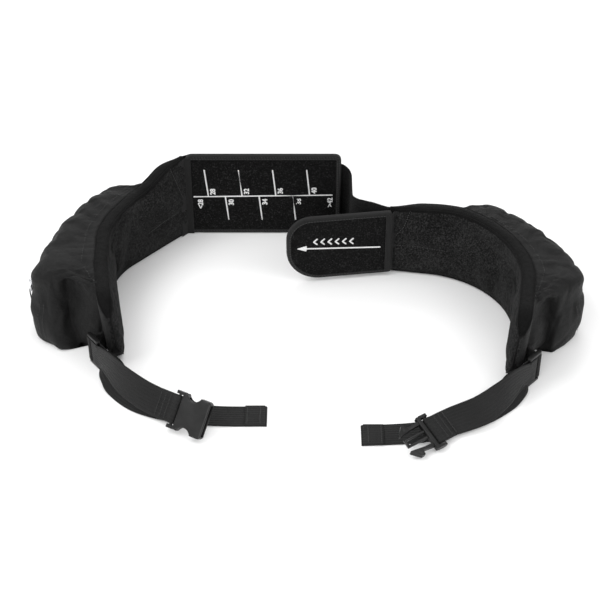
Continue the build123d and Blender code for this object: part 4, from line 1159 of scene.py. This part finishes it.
def build_tongue():
    corners = [(0, TONGUE_LOW), (TONGUE_LENGTH, TONGUE_LOW), (TONGUE_LENGTH, TONGUE_HIGH), (0, TONGUE_HIGH)]
    outline, inward = rounded(corners, [3, 50, 36, 3])
    tongue = board("tongue_board", outline, inward, 1.8, TONGUE_DEPTH, 0.0, on_tongue,
                   ["loop_field", "hook_field"], "tongue", lambda x, z: 0.8 + 0.6*rough(x/40, z/35, 8.0))
    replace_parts(tongue, "tongue_loop", "tongue_core", "tongue_hook")
    binding = rim("tongue_tape", outline, inward, 6.4, TONGUE_DEPTH, 0.0, on_tongue, "tongue")
    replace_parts(binding, "tongue_binding")
    stitch_round("tongue_stitch", outline, inward, 4.7, lambda x, up: on_tongue(x, up, TONGUE_DEPTH + 1.0),
                 (*-TONGUE_BACK, 0.0), "tongue")

    def on_face(x, up, lift):
        return on_tongue(x, up, TONGUE_DEPTH + 1.05 + lift)

    def arrow_line(x):
        return 53.0 + 8.5*(x - 16)/122

    shaft = [(16, arrow_line(16)), (128, arrow_line(128))]
    head = [(124, arrow_line(124), 10.5), (131, arrow_line(131), 5.6), (138, arrow_line(138), 0.8)]
    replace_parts(satin("direction_arrow", [shaft, head], 2.3, SATIN, on_face, "tongue"), "fit_arrow")
    marks = []
    for k in range(6):
        x, z = 60 + 10.5*k, arrow_line(60 + 10.5*k) + 11.5
        marks.append([(x - 4.2, z + 5.2), (x + 1.4, z), (x - 4.2, z - 5.2)])
    satin("direction_chevrons", marks, 2.4, SATIN, on_face, "tongue")


FLAP_LEGS = ((146.0, 0), (10.0, -90.0), (33.0, 0), (40.0, 55.0), (44.9, 0))
FLAP_LENGTH = sum(leg_length(leg) for leg in FLAP_LEGS)
FLAP_DEPTH, HOOK_DEPTH = 4.5, 1.5


def flap_at(s):
    """Plan point on the flap's inner face, and the direction through the flap."""
    p, a = walk((-30.0, 3.3), 0.0, FLAP_LEGS, s)
    return p, np.array((-sin(a), cos(a)))


def build_flap():
    rows = []
    for s in [*np.arange(0, 142, 6.0), *np.arange(143, FLAP_LENGTH, 2.5), FLAP_LENGTH]:
        p, n = flap_at(s)
        free = smooth((s - 150)/30)
        top = table(((0, 118), (146, 118), (156, 110), (166, 102), (180, 95), (200, 97), (230, 104),
                     (260, 108)), s) + 1.2*free*rough(s/17, 1.0)
        heights = [3.0, 4.2, 7.5, *np.linspace(14, top - 11, 14), top - 4.5, top - 1.2, top]
        fat = [0.5, 0.92, *[1.0]*16, 0.92, 0.5]
        near = 0.1 if s < 142.5 else HOOK_DEPTH
        front, back = [], []
        for z, f in zip(heights, fat):
            slack = (FLAP_DEPTH - near)*0.5*(1 - f)
            wave = free*rough(s/21, z/26, 3.0)
            front.append((*(p + n*(near + slack + wave)), z))
            back.append((*(p + n*(FLAP_DEPTH - slack + wave)), z))
        rows.append(front + back[::-1])
    flap = skin("slide_flap", rows, ["shell_nylon", "hook_field"], "right_flap",
                region=[1]*19 + [0]*21)
    subdivide(flap)
    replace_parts(flap, "flap_fabric", "flap_hook")


def upright(name, plan, low, high, thick, material):
    """A standing strip of cloth along plan points; high gives its height at each end."""
    made, tangents = spline([(*p, 0.0) for p in plan], 1.6)
    rows = []
    for k, (p, t) in enumerate(zip(made, tangents)):
        share = k/(len(made) - 1)
        top = high[0] + (high[1] - high[0])*share
        heights = [low, low + 0.8, *np.linspace(low + 3, top - 3, 22), top - 0.8, top]
        n = np.array((-t[1], t[0]))
        front, back = [], []
        for z in heights:
            half = thick/2*(0.5 if z in (low, top) else 1)
            front.append((*(p[:2] + n*(half + 0.25*rough(z/9, k/4))), z))
            back.append((*(p[:2] - n*half), z))
        rows.append(front + back[::-1])
    strip = skin(name, rows, [material])
    Vector((*made[2][:2], 60))*MM
    Vector((*made[-3][:2], 60))*MM
    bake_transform(strip)


def build_seams():
    """Strips of cloth over the folds between the panel, the flap, the tongue and the wings."""
    upright("left_seam", [(-109.5, -6.3), (-113, -6.6), (-117, -6.4), wing(LEFT, 3, -1.0)[0],
                          wing(LEFT, 9, -1.2)[0], wing(LEFT, 15, -1.4)[0]], 1.0, (137.0, 132.0), 1.5,
            "binding_tape")
    upright("left_seam_back", [(-109.5, 4.0), (-114, 4.6), wing(LEFT, 2, 9.6)[0], wing(LEFT, 12, 12.0)[0]],
            1.0, (136.0, 131.0), 1.4, "shell_nylon")
    near_root = [on_tongue(x, 0, depth)[:2] for x, depth in ((0.5, 8.6), (5, 9.4), (9, 9.4))]
    upright("tongue_seam", [wing(RIGHT, 13, -1.2)[0], wing(RIGHT, 7, -2.0)[0], *near_root],
            7.5, (108.5, 109.0), 1.4, "binding_tape")
    ends = []
    for s in (FLAP_LENGTH - 12, FLAP_LENGTH - 5):
        p, n = flap_at(s)
        ends.append(p + 5.4*n)
    upright("flap_seam", [*ends, wing(RIGHT, 5, 10.4)[0], wing(RIGHT, 13, 12.6)[0]], 4.0, (106.0, 109.0),
            1.4, "shell_nylon")


# ---------------------------------------------------------------- carried over CAD pieces
def finish_cad(nodes, material, bevel):
    for node in nodes:
        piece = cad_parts[node]
        piece.data.materials.clear()
        piece.data.materials.append(MATERIALS[material])
        weld = piece.modifiers.new("weld", "WELD")
        weld.merge_threshold = 1e-6
        edge = piece.modifiers.new("bevel", "BEVEL")
        edge.width = bevel
        edge.segments = 3
        edge.limit_method = "ANGLE"
        edge.angle_limit = radians(35)
        edge.harden_normals = True
        piece.data.polygons.foreach_set("use_smooth", [True]*len(piece.data.polygons))


for side in SIDES:
    build_pad(side)
    build_pocket(side)
    build_zip(side)
    build_pull(side)
    build_strap(side)
    build_anchor(side)
build_panel()
build_tongue()
build_flap()
build_seams()
finish_cad(["buckle_socket", "buckle_base", "buckle_prong_upper", "buckle_prong_lower",
            "left_ladder_lock", "right_ladder_lock"], "moulded_plastic", 0.0006)
finish_cad(["left_zip_slider", "right_zip_slider", "left_pull_tab", "right_pull_tab",
            "left_zip_stops", "right_zip_stops"], "zip_metal", 0.00025)


# ---------------------------------------------------------------- studio
CAMERA_PLACE = (0.0585, -1.768, 1.239)
CAMERA_PITCH = radians(38.0)   # down from level
AIM = Vector((0.05, -0.2, 0.05))
LIGHTS = (("key", (-1.5, -0.6, 2.4), 1.5, 30.0), ("fill", (1.8, -1.2, 1.8), 1.6, 14.0),
          ("front", (-0.5, -2.2, 0.9), 1.3, 22.0), ("rim", (0.3, 1.9, 1.9), 1.6, 22.0))


def build_studio():
    scene.view_settings.view_transform = "Standard"
    bpy.ops.mesh.primitive_grid_add(x_subdivisions=8, y_subdivisions=8, size=14.0, location=(0, 0, 0))
    floor = bpy.context.active_object
    floor.name = "floor"
    floor.data.materials.append(MATERIALS["studio_floor"])

    world = bpy.data.worlds.new("studio")
    scene.world = world
    world.use_nodes = True
    sky = world.node_tree.nodes["Background"].inputs
    sky["Color"].default_value = (1.0, 1.0, 1.0, 1.0)
    sky["Strength"].default_value = 0.85
    for name, place, size, power in LIGHTS:
        light = bpy.data.lights.new(name, "AREA")
        light.shape = "SQUARE"
        light.size = size
        light.energy = power
        lamp = bpy.data.objects.new(name, light)
        scene.collection.objects.link(lamp)
        lamp.location = place
        lamp.rotation_euler = (AIM - lamp.location).to_track_quat("-Z", "Y").to_euler()

    lens = bpy.data.cameras.new("camera")
    lens.sensor_width = 36.0
    lens.lens = 82.9
    camera = bpy.data.objects.new("camera", lens)
    scene.collection.objects.link(camera)
    camera.location = CAMERA_PLACE
    camera.rotation_euler = (radians(90.0) - CAMERA_PITCH, 0.0, 0.0)
    scene.camera = camera


build_studio()
